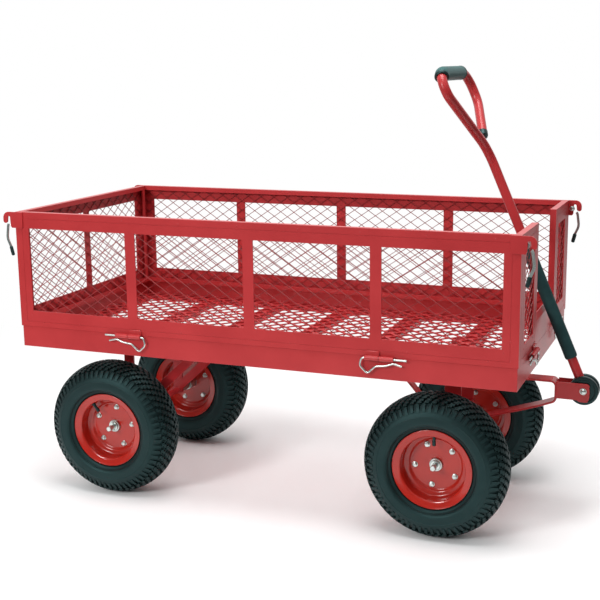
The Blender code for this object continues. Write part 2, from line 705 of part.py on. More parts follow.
def build_front_axle(steer, red):
    """Steered fork: turntable plate, two posts, a web for the drawbar's lower arm, the cross tube and its stubs."""
    x = FRONT_AXLE_X
    tube = AXLE_TUBE / 2
    top = TURNTABLE_Z - 0.001
    plate = top - TURNTABLE_PLATE
    post, post_half, wall = 0.068, 0.020, 0.006
    web_low, web_high = TYRE_RADIUS + tube, TYRE_RADIUS + 0.075
    web_back = x + post_half - wall

    def solid(px, y, z):
        if z > plate:
            return abs(y) < post
        if z < web_low:
            return abs(px - x) < tube
        if post - wall < abs(y) < post:
            return abs(px - x) < post_half
        return z < web_high and px > web_back and abs(y) < post and px < x + post_half

    xs = [x - 0.035, x - post_half, x - tube, web_back, x + tube, x + post_half, x + 0.035]
    ys = [post - wall, post, AXLE_TUBE_END]
    zs = [TYRE_RADIUS - tube, web_low, web_high, plate, top]
    axle = add("front_axle", lattice(xs, [-y for y in ys[::-1]] + ys, zs, solid, deck_place), red, steer)
    weld(axle, *(stub(x, sign) for sign in (-1, 1)), rod((x, 0, web_low), (0, 0, 1), BRACE_STUD, 0.0095, 12))
    cut(axle, rod((x, 0, top), (0, 0, 1), KINGPIN_RADIUS + 2 * GAP, 0.02))


# ---------------------------------------------------------------- drawbar and handle

def build_drawbar(steer, red, zinc):
    """One flat bar bent into a wedge, with the clevis plates welded to its nose, and the handle's pivot bolt."""
    half = DRAWBAR_THICK / 2
    arm_z = TURNTABLE_Z - 0.001 - TURNTABLE_PLATE - GAP - half
    nose = 0.645
    back = FRONT_AXLE_X + 0.020 + 0.0015
    bar = rounded([(FRONT_AXLE_X + 0.021, arm_z, 0), (nose, arm_z, 0.012), (nose, 0.284, 0.012),
                   (nose - 0.038, 0.2695, 0.04), (back, 0.213, 0)], 3)
    drawbar = add("drawbar", prism(strip(bar, DRAWBAR_THICK), -DRAWBAR_HALF_WIDTH, DRAWBAR_HALF_WIDTH, deck_place),
                  red, steer)
    front = PIVOT_X + 0.0145
    cheek = [(nose + 0.001, PIVOT_Z + 0.018), (front - 0.002, PIVOT_Z + 0.018), (front, PIVOT_Z + 0.012),
             (front, PIVOT_Z - 0.022), (front - 0.004, PIVOT_Z - 0.026), (front - 0.022, PIVOT_Z - 0.026),
             (front - 0.030, PIVOT_Z - 0.022), (nose + 0.001, PIVOT_Z - 0.022)]
    shapes = []
    for sign in (-1, 1):
        y = sorted((sign * (DRAWBAR_HALF_WIDTH - 0.0004), sign * (DRAWBAR_HALF_WIDTH - CLEVIS_PLATE)))
        shapes.append(prism(cheek, *y, deck_place))
    weld(drawbar, *shapes)
    cut(drawbar, rod((PIVOT_X, 0, PIVOT_Z), (0, 1, 0), HANDLE_BOLT + 2 * GAP, 0.04))

    end = DRAWBAR_HALF_WIDTH
    profile = [(0, -end - 0.006), (0.008, -end - 0.006), (0.008, -end), (HANDLE_BOLT, -end), (HANDLE_BOLT, end),
               (0.008, end), (0.008, end + 0.007), (0, end + 0.007)]
    add("handle_pivot_bolt", turned(profile, (PIVOT_X, 0, PIVOT_Z), (0, 1, 0), 16), zinc, steer)


def handle_place(along, across):
    """A point in the handle's own plane, measured up the shaft from its pivot and across to the left."""
    return Vector((PIVOT_X - along * sin(HANDLE_LEAN), across, PIVOT_Z + along * cos(HANDLE_LEAN)))


def build_handle(steer, red, black):
    """Tube bent into a hand loop, with its plug, rubber grip, foam sleeve and the pivot hub it plugs into."""
    pivot = empty("handle_axis", (PIVOT_X, 0, PIVOT_Z), steer)
    socket = 0.014
    loop = rounded([(socket, 0, 0), (HANDLE_STRAIGHT, 0, 0.090), (HANDLE_TOP, -0.2144, 0.034),
                    (HANDLE_TOP, 0.088, 0.045), (0.712, 0.088, 0.050), (0.636, 0.012, 0)], 6)
    path = [handle_place(*p) for p in loop]
    add("handle_tube", swept(path, HANDLE_TUBE, 8), red, pivot)

    top = next(n for n, p in enumerate(loop) if p.x > HANDLE_TOP - 0.008)
    grip_from = sum((b - a).length for a, b in zip(path[:top], path[1:top + 1]))
    grip = part_of_path(path, grip_from, grip_from + GRIP_LENGTH)
    bore = HANDLE_TUBE / cos(pi / 8) + 2 * GAP
    add("handle_grip", swept(grip, GRIP_RADIUS, 8, bore), black, pivot)

    tail = (path[-1] - path[-2]).normalized()
    add("handle_plug", swept([path[-1] + tail * GAP, path[-1] + tail * 0.011], HANDLE_TUBE + 0.0008, 8), black, pivot)
    add("foam_sleeve", swept([handle_place(FOAM_FROM, 0), handle_place(FOAM_TO, 0)], FOAM_RADIUS, 8, bore), black,
        pivot)

    half = HANDLE_HUB_WIDTH / 2
    eye = HANDLE_BOLT + 2 * GAP
    hub = add("handle_hub", turned([(eye, -half), (HANDLE_HUB_RADIUS, -half), (HANDLE_HUB_RADIUS, -0.006),
                                    (HANDLE_HUB_RADIUS - 0.005, -0.003), (HANDLE_HUB_RADIUS - 0.005, 0.003),
                                    (HANDLE_HUB_RADIUS, 0.006), (HANDLE_HUB_RADIUS, half), (eye, half)],
                                   (PIVOT_X, 0, PIVOT_Z), (0, 1, 0), 20), black, pivot)
    cut(hub, swept([handle_place(socket - GAP, 0), handle_place(0.05, 0)], HANDLE_TUBE / cos(pi / 12) + 2 * GAP, 12))


def build():
    for obj in list(bpy.data.objects):
        bpy.data.objects.remove(obj)
    red = paint("red_paint", (0.50, 0.045, 0.045), 0.35)
    rubber = paint("tyre_rubber", (0.02, 0.025, 0.025), 0.8)
    black = paint("black_grip", (0.02, 0.03, 0.03), 0.6)
    zinc = paint("zinc_plate", (0.6, 0.62, 0.6), 0.3, 1.0)

    cart = empty("cart", (0, 0, 0))
    cart.location.x = -CART_CENTRE
    build_deck(cart, red)
    build_handle_rest(cart, red)
    for side in SIDES:
        build_side(side, cart, red, zinc)
    build_gates(cart, red, zinc)

    build_rear_axle(cart, red)
    build_front_mount(cart, red, zinc)
    steer = empty("steering_axis", (FRONT_AXLE_X, 0, TYRE_RADIUS), cart)
    build_front_axle(steer, red)
    for side, sign in SIDES.items():
        build_wheel(f"rear_{side}", REAR_AXLE_X, sign, cart, red, rubber, zinc)
        build_wheel(f"front_{side}", FRONT_AXLE_X, sign, steer, red, rubber, zinc)
    build_drawbar(steer, red, zinc)
    build_handle(steer, red, black)


build()
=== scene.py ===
"""The looks of a crate-sided garden cart: pressed frames, expanded mesh, turf tyres and plated fittings, each piece
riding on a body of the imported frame.

Row frame, in metres: +X towards the handle, +Z up, ground at z = 0, left is +Y.
"""

from itertools import product
from math import cos, pi, radians, sin, tan

import bmesh
import bpy
from mathutils import Matrix, Vector, noise


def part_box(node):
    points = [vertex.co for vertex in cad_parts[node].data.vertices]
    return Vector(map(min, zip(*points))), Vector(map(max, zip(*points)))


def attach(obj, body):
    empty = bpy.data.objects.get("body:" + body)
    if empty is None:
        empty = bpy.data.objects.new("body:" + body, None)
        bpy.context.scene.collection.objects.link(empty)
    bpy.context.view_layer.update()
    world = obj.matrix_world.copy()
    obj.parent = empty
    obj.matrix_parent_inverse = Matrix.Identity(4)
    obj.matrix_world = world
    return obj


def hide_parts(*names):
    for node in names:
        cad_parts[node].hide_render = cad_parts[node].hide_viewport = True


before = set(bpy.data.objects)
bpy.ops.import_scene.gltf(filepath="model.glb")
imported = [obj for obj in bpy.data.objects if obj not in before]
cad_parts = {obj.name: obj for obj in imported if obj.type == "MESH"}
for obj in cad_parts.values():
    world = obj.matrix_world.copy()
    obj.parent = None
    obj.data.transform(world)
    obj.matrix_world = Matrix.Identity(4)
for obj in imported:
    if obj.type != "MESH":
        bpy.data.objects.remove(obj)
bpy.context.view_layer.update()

DECK_X = sum(corner.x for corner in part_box("floor_mesh")) / 2  # the deck's centre

GAP = 0.0003  # between touching pieces

# Deck
DECK_LENGTH = 1.22
DECK_WIDTH = 0.61
DECK_BOTTOM = 0.3835
DECK_TOP = 0.4345
RAIL_WALL = 0.003
RAIL_FOOT = 0.032
FLOOR_Z = 0.3968
FLOOR_PITCH = (0.050, 0.041)
FLOOR_STRAND = 0.0085
FLOOR_THICK = 0.0026
REST_WALL = 0.0024
REST_SIDE_GAP = 0.0015
REST_BEND = 0.491
REST_HEIGHT = 0.5045
REST_LIP = 0.0053  # how far the rest plate's top leans back

# Sides and gates
PANEL_PROUD = 0.002  # how far the panels stand proud of the deck rails
PANEL_BOTTOM = DECK_TOP + GAP
PANEL_TOP = PANEL_BOTTOM + 0.280
PANEL_DEPTH = 0.015
PANEL_WALL = 0.002
PANEL_LIP = 0.012
PANEL_STILE = 0.036
PANEL_RAIL = 0.039
PANEL_BAR = 0.026
SIDE_FACE = DECK_WIDTH / 2 + PANEL_PROUD
END_FACE = DECK_LENGTH / 2 + PANEL_PROUD
GATE_HALF_WIDTH = 0.290
HANDLE_SLOT = 0.230
SIDE_BARS = (-0.3, 0.0, 0.3)
CREASE_TOP = 0.0150  # how far the pressed crease lies below a panel's top
CREASE_BOTTOM = 0.0120
CREASE_END = 0.0175
CREASE_WIDTH = 0.0014
CREASE_DEPTH = 0.0005
MESH_PITCH = (0.0395, 0.0265)
MESH_STRAND = 0.0015
MESH_THICK = 0.0012

# Hinges and latches
KNUCKLE_LENGTH = 0.033
KNUCKLE_RADIUS = 0.0055
KNUCKLE_WALL = 0.002
KNUCKLE_TAB = 0.014
HINGE_OUT = KNUCKLE_RADIUS + 0.001
HINGE_Z = DECK_TOP - 0.0025
SIDE_HINGE_AT = 0.31
REAR_HINGE_AT = 0.15
FRONT_HINGE_AT = 0.155
CLIP_RADIUS = 0.00225
LATCH_REACH = 0.032
LATCH_OVERLAP = 0.022
LATCH_HEIGHT = 0.0385
LATCH_PLATE = 0.0033
LATCH_LEVER = 0.0025
LATCH_BOLT_OUT = 0.009
LATCH_BOLT_Z = PANEL_TOP - 0.0205

# Running gear
TYRE_RADIUS = 0.1685
WHEEL_Y = 0.208
HUB_RADIUS = 0.015
AXLE_RADIUS = 0.00635
AXLE_TUBE = 0.015  # half the front tube's width
AXLE_TUBE_END = 0.145
AXLE_TIP = 0.243
REAR_AXLE_X = DECK_X - 0.421
FRONT_AXLE_X = DECK_X + 0.413
REAR_SHAFT_RADIUS = 0.008
POST_Y = 0.125
POST_HALF = 0.0135
POST_THICK = 0.006
FOOT_THICK = 0.005
STRUT_SLOPE = 0.92  # rise over run
STRUT_BELOW = 0.009  # how far the strut and post reach below the axle's middle
STRUT_BEHIND = 0.033
STRUT_AHEAD = 0.0013
TURNTABLE_Z = 0.3405
TURNTABLE_PLATE = 0.005
BRACE_HEAD = DECK_X + 0.2085
BRACE_HALF_WIDTH = 0.0125
BRACE_THICK = 0.005

# Drawbar and handle
PIVOT = Vector((DECK_X + 0.708, 0.0, 0.314))
HANDLE_LEAN = radians(23.5)
HANDLE_TUBE = 0.011
HANDLE_STRAIGHT = 0.598
HANDLE_TOP = 0.786
GRIP_LENGTH = 0.180
FOAM_FROM = 0.080
FOAM_TO = 0.355
HUB_HALF_WIDTH = 0.0165
DRAWBAR_HALF = 0.0205

# Stage
BACKGROUND = 1.0
OVERHEAD = 0.75
DIM = 0.12
FRONT_GLOW = 0.18
LAMPS = (("overhead", (0.2, -0.4, 3.4), 2.0, 80), ("key", (-1.6, -3.8, 2.2), 1.2, 88))  # name, place, size, watts
CAMERA_AT = (0.990, -2.555, 1.066)
CAMERA_TURN = (radians(20.78), radians(11.48), radians(-0.47))  # azimuth, elevation, roll
CAMERA_LENS = 67.5
CAMERA_SHIFT = (-0.043, -0.019)

SIDES = {"left": 1, "right": -1}
ENDS = {"front": 1, "rear": -1}


# ---- places

def side_place(side):
    """(along, outward from the panel's face, height) on a long side."""
    sign = SIDES[side]
    return lambda along, out, up: Vector((DECK_X + along, sign * (SIDE_FACE + out), up))


def end_place(end):
    """(across, outward from the gate's face, height) on an end."""
    sign = ENDS[end]
    return lambda along, out, up: Vector((DECK_X + sign * (END_FACE + out), along, up))


def row(x, y, z):
    return Vector((x, y, z))


def deck_place(x, y, z):
    return Vector((DECK_X + x, y, z))


def handle_place(along, across):
    """A point in the handle's own plane, up the shaft from its pivot and across to the left."""
    return PIVOT + Vector((-along * sin(HANDLE_LEAN), across, along * cos(HANDLE_LEAN)))


# ---- shapes

def soften(bm, width, segments=2, limit=30):
    """Round the edges that turn more than a limit in degrees."""
    bmesh.ops.recalc_face_normals(bm, faces=bm.faces)
    edges = [e for e in bm.edges if len(e.link_faces) == 2 and e.calc_face_angle(0) > radians(limit)]
    bmesh.ops.bevel(bm, geom=edges, offset=width, offset_type="OFFSET", segments=segments, profile=0.5,
                    affect="EDGES", clamp_overlap=True)
    return bm


def lattice(alongs, outs, ups, solid, place, bevel=0.0):
    """The closed skin of the grid cells whose middles are solid."""
    bm = bmesh.new()
    grid = (alongs, outs, ups)
    cells = {cell for cell in product(*(range(len(lines) - 1) for lines in grid))
             if solid(*((lines[n] + lines[n + 1]) / 2 for lines, n in zip(grid, cell)))}
    corners = {}

    def corner(key):
        if key not in corners:
            corners[key] = bm.verts.new(place(*(lines[n] for lines, n in zip(grid, key))))
        return corners[key]

    for cell, axis, step in product(sorted(cells), range(3), (0, 1)):
        beside = list(cell)
        beside[axis] += 2 * step - 1
        if tuple(beside) in cells:
            continue
        ring = []
        for db, dc in ((0, 0), (1, 0), (1, 1), (0, 1)):
            key = list(cell)
            key[axis] += step
            key[(axis + 1) % 3] += db
            key[(axis + 2) % 3] += dc
            ring.append(corner(tuple(key)))
        bm.faces.new(ring)
    bmesh.ops.recalc_face_normals(bm, faces=bm.faces)
    bmesh.ops.dissolve_limit(bm, angle_limit=radians(0.1), verts=bm.verts, edges=bm.edges)
    return soften(bm, bevel) if bevel else bm


def block(low, high, place=row, bevel=0.0008):
    return lattice(*([a, b] for a, b in zip(low, high)), lambda *_: True, place, bevel)


def prism(outline, low, high, place, bevel=0.0006):
    """An outline of (a, b) points drawn out between two depths; place(a, depth, b) sets each corner."""
    bm = bmesh.new()
    near, far = ([bm.verts.new(place(a, depth, b)) for a, b in outline] for depth in (low, high))
    bm.faces.new(near)
    bm.faces.new(far)
    for n in range(len(outline)):
        bm.faces.new((near[n - 1], near[n], far[n], far[n - 1]))
    return soften(bm, bevel) if bevel else bm


def turned(profile, centre, axis, sides=32):
    """A closed loop of (radius, along) points turned about an axis; two points at radius 0 end a solid shaft."""
    bm = bmesh.new()
    turn = Vector((0, 0, 1)).rotation_difference(Vector(axis)).to_matrix()
    rings = []
    for radius, along in profile:
        steps = range(sides) if radius > 0 else (0,)
        spots = [Vector((radius * cos(2 * pi * n / sides), radius * sin(2 * pi * n / sides), along)) for n in steps]
        rings.append([bm.verts.new(turn @ spot + Vector(centre)) for spot in spots])
    for first, second in zip(rings, rings[1:] + rings[:1]):
        for n in range(sides):
            m = (n + 1) % sides
            if len(first) > 1 and len(second) > 1:
                bm.faces.new((first[n], first[m], second[m], second[n]))
            elif len(first) > 1:
                bm.faces.new((first[n], first[m], second[0]))
            elif len(second) > 1:
                bm.faces.new((first[0], second[m], second[n]))
    return bm


def rod(radius, low, high, centre, axis, sides):
    """A plain round bar between two heights along an axis."""
    return turned([(0, low), (radius, low), (radius, high), (0, high)], centre, axis, sides)


def swept(path, radius, sides=24, flute=0.0):
    """A round bar along a path; radius is one number or one for each point, and flutes deepen every other side."""
    bm = bmesh.new()
    path = [Vector(p) for p in path]
    radii = radius if isinstance(radius, list) else [radius] * len(path)
    rings = []
    normal = None
    for n, point in enumerate(path):
        before, after = path[max(n - 1, 0)], path[min(n + 1, len(path) - 1)]
        tangent = ((after - point).normalized() + (point - before).normalized()).normalized()
        if normal is None:
            normal = tangent.orthogonal()
        normal = (normal - tangent * normal.dot(tangent)).normalized()
        other = tangent.cross(normal)
        ring = []
        for k in range(sides):
            angle = 2 * pi * k / sides
            reach = radii[n] - (flute if k % 2 else 0.0)
            ring.append(bm.verts.new(point + reach * (cos(angle) * normal + sin(angle) * other)))
        rings.append(ring)
    for first, second in zip(rings, rings[1:]):
        for k in range(sides):
            bm.faces.new((first[k - 1], first[k], second[k], second[k - 1]))
    bm.faces.new(rings[0])
    bm.faces.new(rings[-1])
    return bm


def rounded(corners, steps=8):
    """A path of (x, y) points from corners of (x, y, radius), each turned into an arc."""
    points = [Vector(corners[0][:2])]
    for before, (x, y, radius), after in zip(corners, corners[1:], corners[2:]):
        here = Vector((x, y))
        back = (Vector(before[:2]) - here).normalized()
        ahead = (Vector(after[:2]) - here).normalized()
        half = back.angle(ahead) / 2
        centre = here + (back + ahead).normalized() * radius / sin(half)
        start = here + back * radius / tan(half) - centre
        sweep = start.angle_signed(here + ahead * radius / tan(half) - centre)
        points += [centre + Matrix.Rotation(-sweep * n / steps, 2) @ start for n in range(steps + 1)]
    points.append(Vector(corners[-1][:2]))
    return points


def strip(path, thickness):
    """The outline of a bent flat strip: the path stepped out by half its thickness to both sides."""
    path = [Vector(p) for p in path]
    edges = ([], [])
    for n, point in enumerate(path):
        before, after = path[max(n - 1, 0)], path[min(n + 1, len(path) - 1)]
        into = (point - before).normalized() if n else (after - point).normalized()
        out = (after - point).normalized() if n < len(path) - 1 else into
        across = Vector((-(into + out).y, (into + out).x)).normalized()
        reach = thickness / 2 / max(across.dot(Vector((-into.y, into.x))), 0.5)
        edges[0].append(point + across * reach)
        edges[1].append(point - across * reach)
    return edges[0] + edges[1][::-1]


def arc(centre, radius, start, end, steps):
    """Points on an arc between two angles in degrees."""
    angles = [radians(start + (end - start) * n / steps) for n in range(steps + 1)]
    return [(centre[0] + radius * cos(a), centre[1] + radius * sin(a)) for a in angles]


def lengths(path):
    """How far along a path each of its points lies."""
    marks = [0.0]
    for here, there in zip(path, path[1:]):
        marks.append(marks[-1] + (there - here).length)
    return marks


def along_path(path, distances):
    """The points at given distances from a path's first point."""
    marks, points = lengths(path), []
    for distance in distances:
        n = next((i for i, m in enumerate(marks[1:]) if m >= distance), len(path) - 2)
        points.append(path[n].lerp(path[n + 1], (distance - marks[n]) / (marks[n + 1] - marks[n])))
    return points


def spread(low, high, count):
    """Evenly spaced numbers, both ends among them."""
    return [low + (high - low) * n / (count - 1) for n in range(count)]


def bead(start, end, radius=0.0020):
    """A rippled weld bead."""
    start, end = Vector(start), Vector(end)
    count = max(5, 2 * round((end - start).length / 0.0042) + 1)
    path = [start.lerp(end, n / (count - 1)) for n in range(count)]
    radii = [radius * (0.55 if n in (0, count - 1) else 1.0 if n % 2 else 0.82) for n in range(count)]
    return swept(path, radii, 8)


def bead_round(low, high, z):
    """Weld beads round the foot of a post that stands on a face."""
    (x0, y0), (x1, y1) = low, high
    ring = [(x0, y0, z), (x1, y0, z), (x1, y1, z), (x0, y1, z)]
    return [bead(a, b, 0.0018) for a, b in zip(ring, ring[1:] + ring[:1])]


def hexagon(centre, axis, across, low, high, dome=0.0):
    """A chamfered hexagon head or nut between two heights along an axis, with a domed or flat top."""
    radius = across / 2 / cos(pi / 6)
    chamfer = 0.12 * (high - low)
    profile = [(0, low), (radius, low), (radius, high - chamfer), (radius - 0.7 * chamfer, high), (0, high + dome)]
    return soften(turned(profile, centre, axis, 6), 0.0003, 1, 20)


def expanded(low, high, pitch, strand, thick, rise, bulge, place):
    """Expanded metal between two corners: a skin with a diamond hole in each cell, its strands twisted out of plane.

    The holes' sides swell past a straight diamond by the bulge; place(a, out, b) sets each corner, with out measured
    from the middle of the sheet.
    """
    bm = bmesh.new()
    half = (pitch[0] / 2, pitch[1] / 2)
    shrink = 1 - strand / 2 * (half[0] ** 2 + half[1] ** 2) ** 0.5 / (half[0] * half[1])
    ring = [(2, 0), (1, 1), (0, 2), (-1, 1), (-2, 0), (-1, -1), (0, -2), (1, -1)]
    middle = ((low[0] + high[0]) / 2, (low[1] + high[1]) / 2)
    reach = [int((high[n] - low[n]) / 2 / half[n]) + 2 for n in (0, 1)]
    shared = {}

    def corner(key, side):
        if (key, side) not in shared:
            a, b = middle[0] + key[0] * half[0] / 2, middle[1] + key[1] * half[1] / 2
            shared[key, side] = bm.verts.new((a, side * thick / 2, b))
        return shared[key, side]

    for i, j in product(*(range(-count, count + 1) for count in reach)):
        if (i + j) % 2:
            continue
        holes = []
        for side in (-1, 1):
            outer = [corner((2 * i + a, 2 * j + b), side) for a, b in ring]
            inner = []
            for a, b in ring:
                scale = shrink * (bulge if abs(a) == 1 else 1.0) / 2
                inner.append(bm.verts.new((middle[0] + (i + a * scale) * half[0], side * thick / 2 + rise * b / 2,
                                           middle[1] + (j + b * scale) * half[1])))
            holes.append(inner)
            for n in range(8):
                bm.faces.new((outer[n - 1], outer[n], inner[n], inner[n - 1]))
        back, front = holes
        for n in range(8):
            bm.faces.new((back[n - 1], back[n], front[n], front[n - 1]))
    for n, axis in enumerate((Vector((1, 0, 0)), Vector((0, 0, 1)))):
        for limit, way in ((low[n], -1), (high[n], 1)):
            bmesh.ops.bisect_plane(bm, geom=bm.verts[:] + bm.edges[:] + bm.faces[:], plane_co=axis * limit,
                                   plane_no=axis * way, clear_outer=True)
    bmesh.ops.holes_fill(bm, edges=[e for e in bm.edges if e.is_boundary], sides=0)
    for vert in bm.verts:
        vert.co = place(*vert.co)
    return bm


def pip(place, along, up, radius=0.0021):
    """A spot weld: a low dome on a panel's face."""
    centre = place(along, 0, up)
    out = place(along, 1, up) - centre
    height = 0.3 * radius
    return turned([(0, height), (0.5 * radius, 0.85 * height), (0.85 * radius, 0.4 * height), (radius, -0.0002),
                   (0, -0.0002)], centre, out, 14)


# ---- finishes

def finish_nodes(name):
    material = bpy.data.materials.new(name)
    material.use_nodes = True
    tree = material.node_tree
    return material, tree, tree.nodes["Principled BSDF"]


def node(tree, kind, *sources, **values):
    """A node with outputs linked into its first sockets; the values set its sockets and its other properties."""
    made = tree.nodes.new(kind)
    for source, socket in zip(sources, made.inputs):
        tree.links.new(source, socket)
    for key, value in values.items():
        if key in made.inputs:
            made.inputs[key].default_value = value
        else:
            setattr(made, key.lower(), value)
    return made


def ramp(tree, value, low, high, bottom=0.0, top=1.0, kind="SMOOTHSTEP"):
    """The output of a ramp from one value to another."""
    made = node(tree, "ShaderNodeMapRange", value, interpolation_type=kind)
    for socket, number in (("From Min", low), ("From Max", high), ("To Min", bottom), ("To Max", top)):
        made.inputs[socket].default_value = number
    return made.outputs["Result"]


def surface(name, dark, light, patch, rough, grain, bump, metallic=0.0, **sockets):
    """A material whose colour drifts between two shades over patches, with its own roughness range and grain."""
    material, tree, shader = finish_nodes(name)
    link = tree.links.new
    where = node(tree, "ShaderNodeTexCoord").outputs["Object"]
    drift = node(tree, "ShaderNodeTexNoise", where, Scale=patch, Detail=4.0, Roughness=0.6)
    shade = ramp(tree, drift.outputs["Fac"], 0.32, 0.68, kind="LINEAR")
    tone = node(tree, "ShaderNodeMix", shade, data_type="RGBA")
    tone.inputs[6].default_value = (*dark, 1)
    tone.inputs[7].default_value = (*light, 1)
    link(tone.outputs[2], shader.inputs["Base Color"])
    fine = node(tree, "ShaderNodeTexNoise", where, Scale=grain, Detail=3.0, Roughness=0.55)
    link(ramp(tree, fine.outputs["Fac"], 0.0, 1.0, *rough, "LINEAR"), shader.inputs["Roughness"])
    relief = node(tree, "ShaderNodeBump", Strength=bump[0], Distance=bump[1])
    link(fine.outputs["Fac"], relief.inputs["Height"])
    link(relief.outputs["Normal"], shader.inputs["Normal"])
    shader.inputs["Metallic"].default_value = metallic
    for socket, value in sockets.items():
        shader.inputs[socket.replace("_", " ")].default_value = value
    return material


TEAL = (0.50, 1.0, 1.0, 1)
LOOKS = {
    "red_paint": surface("red powder coat", (0.430, 0.026, 0.029), (0.505, 0.036, 0.039), 7.0, (0.26, 0.40), 620.0,
                         (0.10, 0.0004), Specular_IOR_Level=0.38),
    # The mesh wears the frame's red darkened: painted shade, so the thin strands read dark as if seen in shadow against
    # the light.
    "shade_darkened_mesh_paint": surface("red mesh paint darkened for painted shade", (0.230, 0.016, 0.018), (0.280, 0.021, 0.023), 9.0, (0.34, 0.46), 620.0,
                          (0.10, 0.0004), Specular_IOR_Level=0.35),
    "rim_paint": surface("rim enamel", (0.380, 0.013, 0.007), (0.460, 0.020, 0.011), 18.0, (0.14, 0.24), 520.0,
                         (0.05, 0.0003), Specular_IOR_Level=0.45, Coat_Weight=0.20, Coat_Roughness=0.08),
    "zinc_plate": surface("zinc plate", (0.50, 0.57, 0.55), (0.68, 0.74, 0.71), 60.0, (0.20, 0.40), 900.0,
                          (0.10, 0.0002), metallic=1.0),
    "tyre_rubber": surface("tyre rubber", (0.0038, 0.0088, 0.0094), (0.0072, 0.0150, 0.0155), 22.0, (0.44, 0.62), 700.0,
                           (0.22, 0.0004), Specular_IOR_Level=0.42, Specular_Tint=TEAL),
    "grip_rubber": surface("grip rubber", (0.012, 0.060, 0.058), (0.020, 0.085, 0.080), 30.0, (0.42, 0.58), 800.0,
                           (0.12, 0.0003), Specular_IOR_Level=0.5, Specular_Tint=TEAL),
    "foam": surface("foam", (0.0075, 0.0230, 0.0245), (0.0130, 0.0390, 0.0400), 45.0, (0.60, 0.80), 1400.0,
                    (0.45, 0.0007), Specular_IOR_Level=0.5, Specular_Tint=TEAL),
    "black_plastic": surface("black plastic", (0.0055, 0.0090, 0.0095), (0.0100, 0.0150, 0.0155), 25.0, (0.34, 0.50),
                             600.0, (0.10, 0.0003), Specular_Tint=TEAL),
}


def added(name, data):
    """A new object in the scene."""
    obj = bpy.data.objects.new(name, data)
    bpy.context.scene.collection.objects.link(obj)
    return obj


def piece(name, slot, body, shapes, *stands_for, look=None):
    """Join shapes into one object that rides on a body, wears a slot's look or its own, and stands for CAD nodes."""
    joined = bmesh.new()
    for shape in shapes:
        bmesh.ops.recalc_face_normals(shape, faces=shape.faces)
        part = bpy.data.meshes.new("part")
        shape.to_mesh(part)
        shape.free()
        joined.from_mesh(part)
        bpy.data.meshes.remove(part)
    mesh = bpy.data.meshes.new(name)
    joined.to_mesh(mesh)
    joined.free()
    mesh.materials.append(LOOKS[look or slot])
    mesh.shade_smooth()
    mesh.set_sharp_from_angle(angle=radians(42))
    obj = added(name, mesh)
    obj.modifiers.new("flat faces", "WEIGHTED_NORMAL").keep_sharp = True
    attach(obj, body)
    if stands_for:
        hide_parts(*stands_for)
    return obj


# ---- deck

def build_deck():
    half_x, half_y = DECK_LENGTH / 2, DECK_WIDTH / 2
    foot_z = DECK_BOTTOM + RAIL_WALL

    def solid(x, y, z):
        inset = min(half_x - abs(x), half_y - abs(y))
        return inset < RAIL_WALL or (inset < RAIL_FOOT and z < foot_z)

    def lines(half):
        edges = [half, half - RAIL_WALL, half - RAIL_FOOT]
        return [-e for e in edges] + edges[::-1]

    shapes = [lattice(lines(half_x), lines(half_y), [DECK_BOTTOM, foot_z, DECK_TOP], solid, deck_place, 0.0011)]
    for side, end in product(SIDES, (-1, 1)):
        shapes += deck_knuckle(side_place(side), end * SIDE_HINGE_AT, end)
    for (end, at), side in product((("rear", REAR_HINGE_AT), ("front", FRONT_HINGE_AT)), (-1, 1)):
        shapes += deck_knuckle(end_place(end), side * at, side)
    for x, y in product((-1, 1), (-1, 1)):
        corner = (x * (half_x - RAIL_WALL), y * (half_y - RAIL_WALL))
        shapes.append(bead(deck_place(*corner, foot_z), deck_place(*corner, FLOOR_Z + 0.03), 0.0022))
        shapes.append(bead(deck_place(*corner, foot_z),
                           deck_place(corner[0] - x * 0.029, corner[1] - y * 0.029, foot_z), 0.0016))
    piece("deck_rails", "red_paint", "deck", shapes, "deck_frame")

    inner_x, inner_y = half_x - RAIL_WALL - 0.0006, half_y - RAIL_WALL - 0.0006
    middle = FLOOR_Z + GAP + FLOOR_THICK / 2 + 0.0006
    sheet = expanded((-inner_x, -inner_y), (inner_x, inner_y), FLOOR_PITCH, FLOOR_STRAND, FLOOR_THICK, 0.0009, 1.08,
                     lambda a, out, b: deck_place(a, b, middle + out))
    tacks = [bead(deck_place(x - 0.006, y, middle + 0.001), deck_place(x + 0.006, y, middle + 0.001), 0.0018)
             for x, y in product(spread(-inner_x + 0.03, inner_x - 0.03, 13), (-inner_y, inner_y))]
    piece("floor_expanded", "red_paint", "deck", [sheet, *tacks], "floor_mesh")


def build_handle_rest():
    """Plate standing on the front rail between the half gates, its top bent back where the handle leans."""
    half, low = HANDLE_SLOT / 2 - REST_SIDE_GAP, DECK_TOP + GAP
    middle = (DECK_LENGTH - REST_WALL) / 2
    path = rounded([(middle, low, 0), (middle, REST_BEND, 0.004), (middle - REST_LIP, REST_HEIGHT, 0)], 5)
    foot = deck_place(middle, 0, low)
    weld = bead(foot + Vector((0, 0.004 - half, 0)), foot + Vector((0, half - 0.004, 0)), 0.0016)
    piece("handle_rest", "red_paint", "deck", [prism(strip(path, REST_WALL), -half, half, deck_place, 0.0005), weld],
          "handle_rest_plate")


# ---- hinges and clips

def rolled(start, end, tab, low, high, place):
    """A hinge leaf: a strip that leaves a tab and rolls round the hinge's line."""
    outline = strip(tab + arc((HINGE_OUT, HINGE_Z), KNUCKLE_RADIUS - KNUCKLE_WALL / 2, start, end, 20), KNUCKLE_WALL)
    return prism(outline, low, high, lambda out, along, up: place(along, out, up), 0.0004)


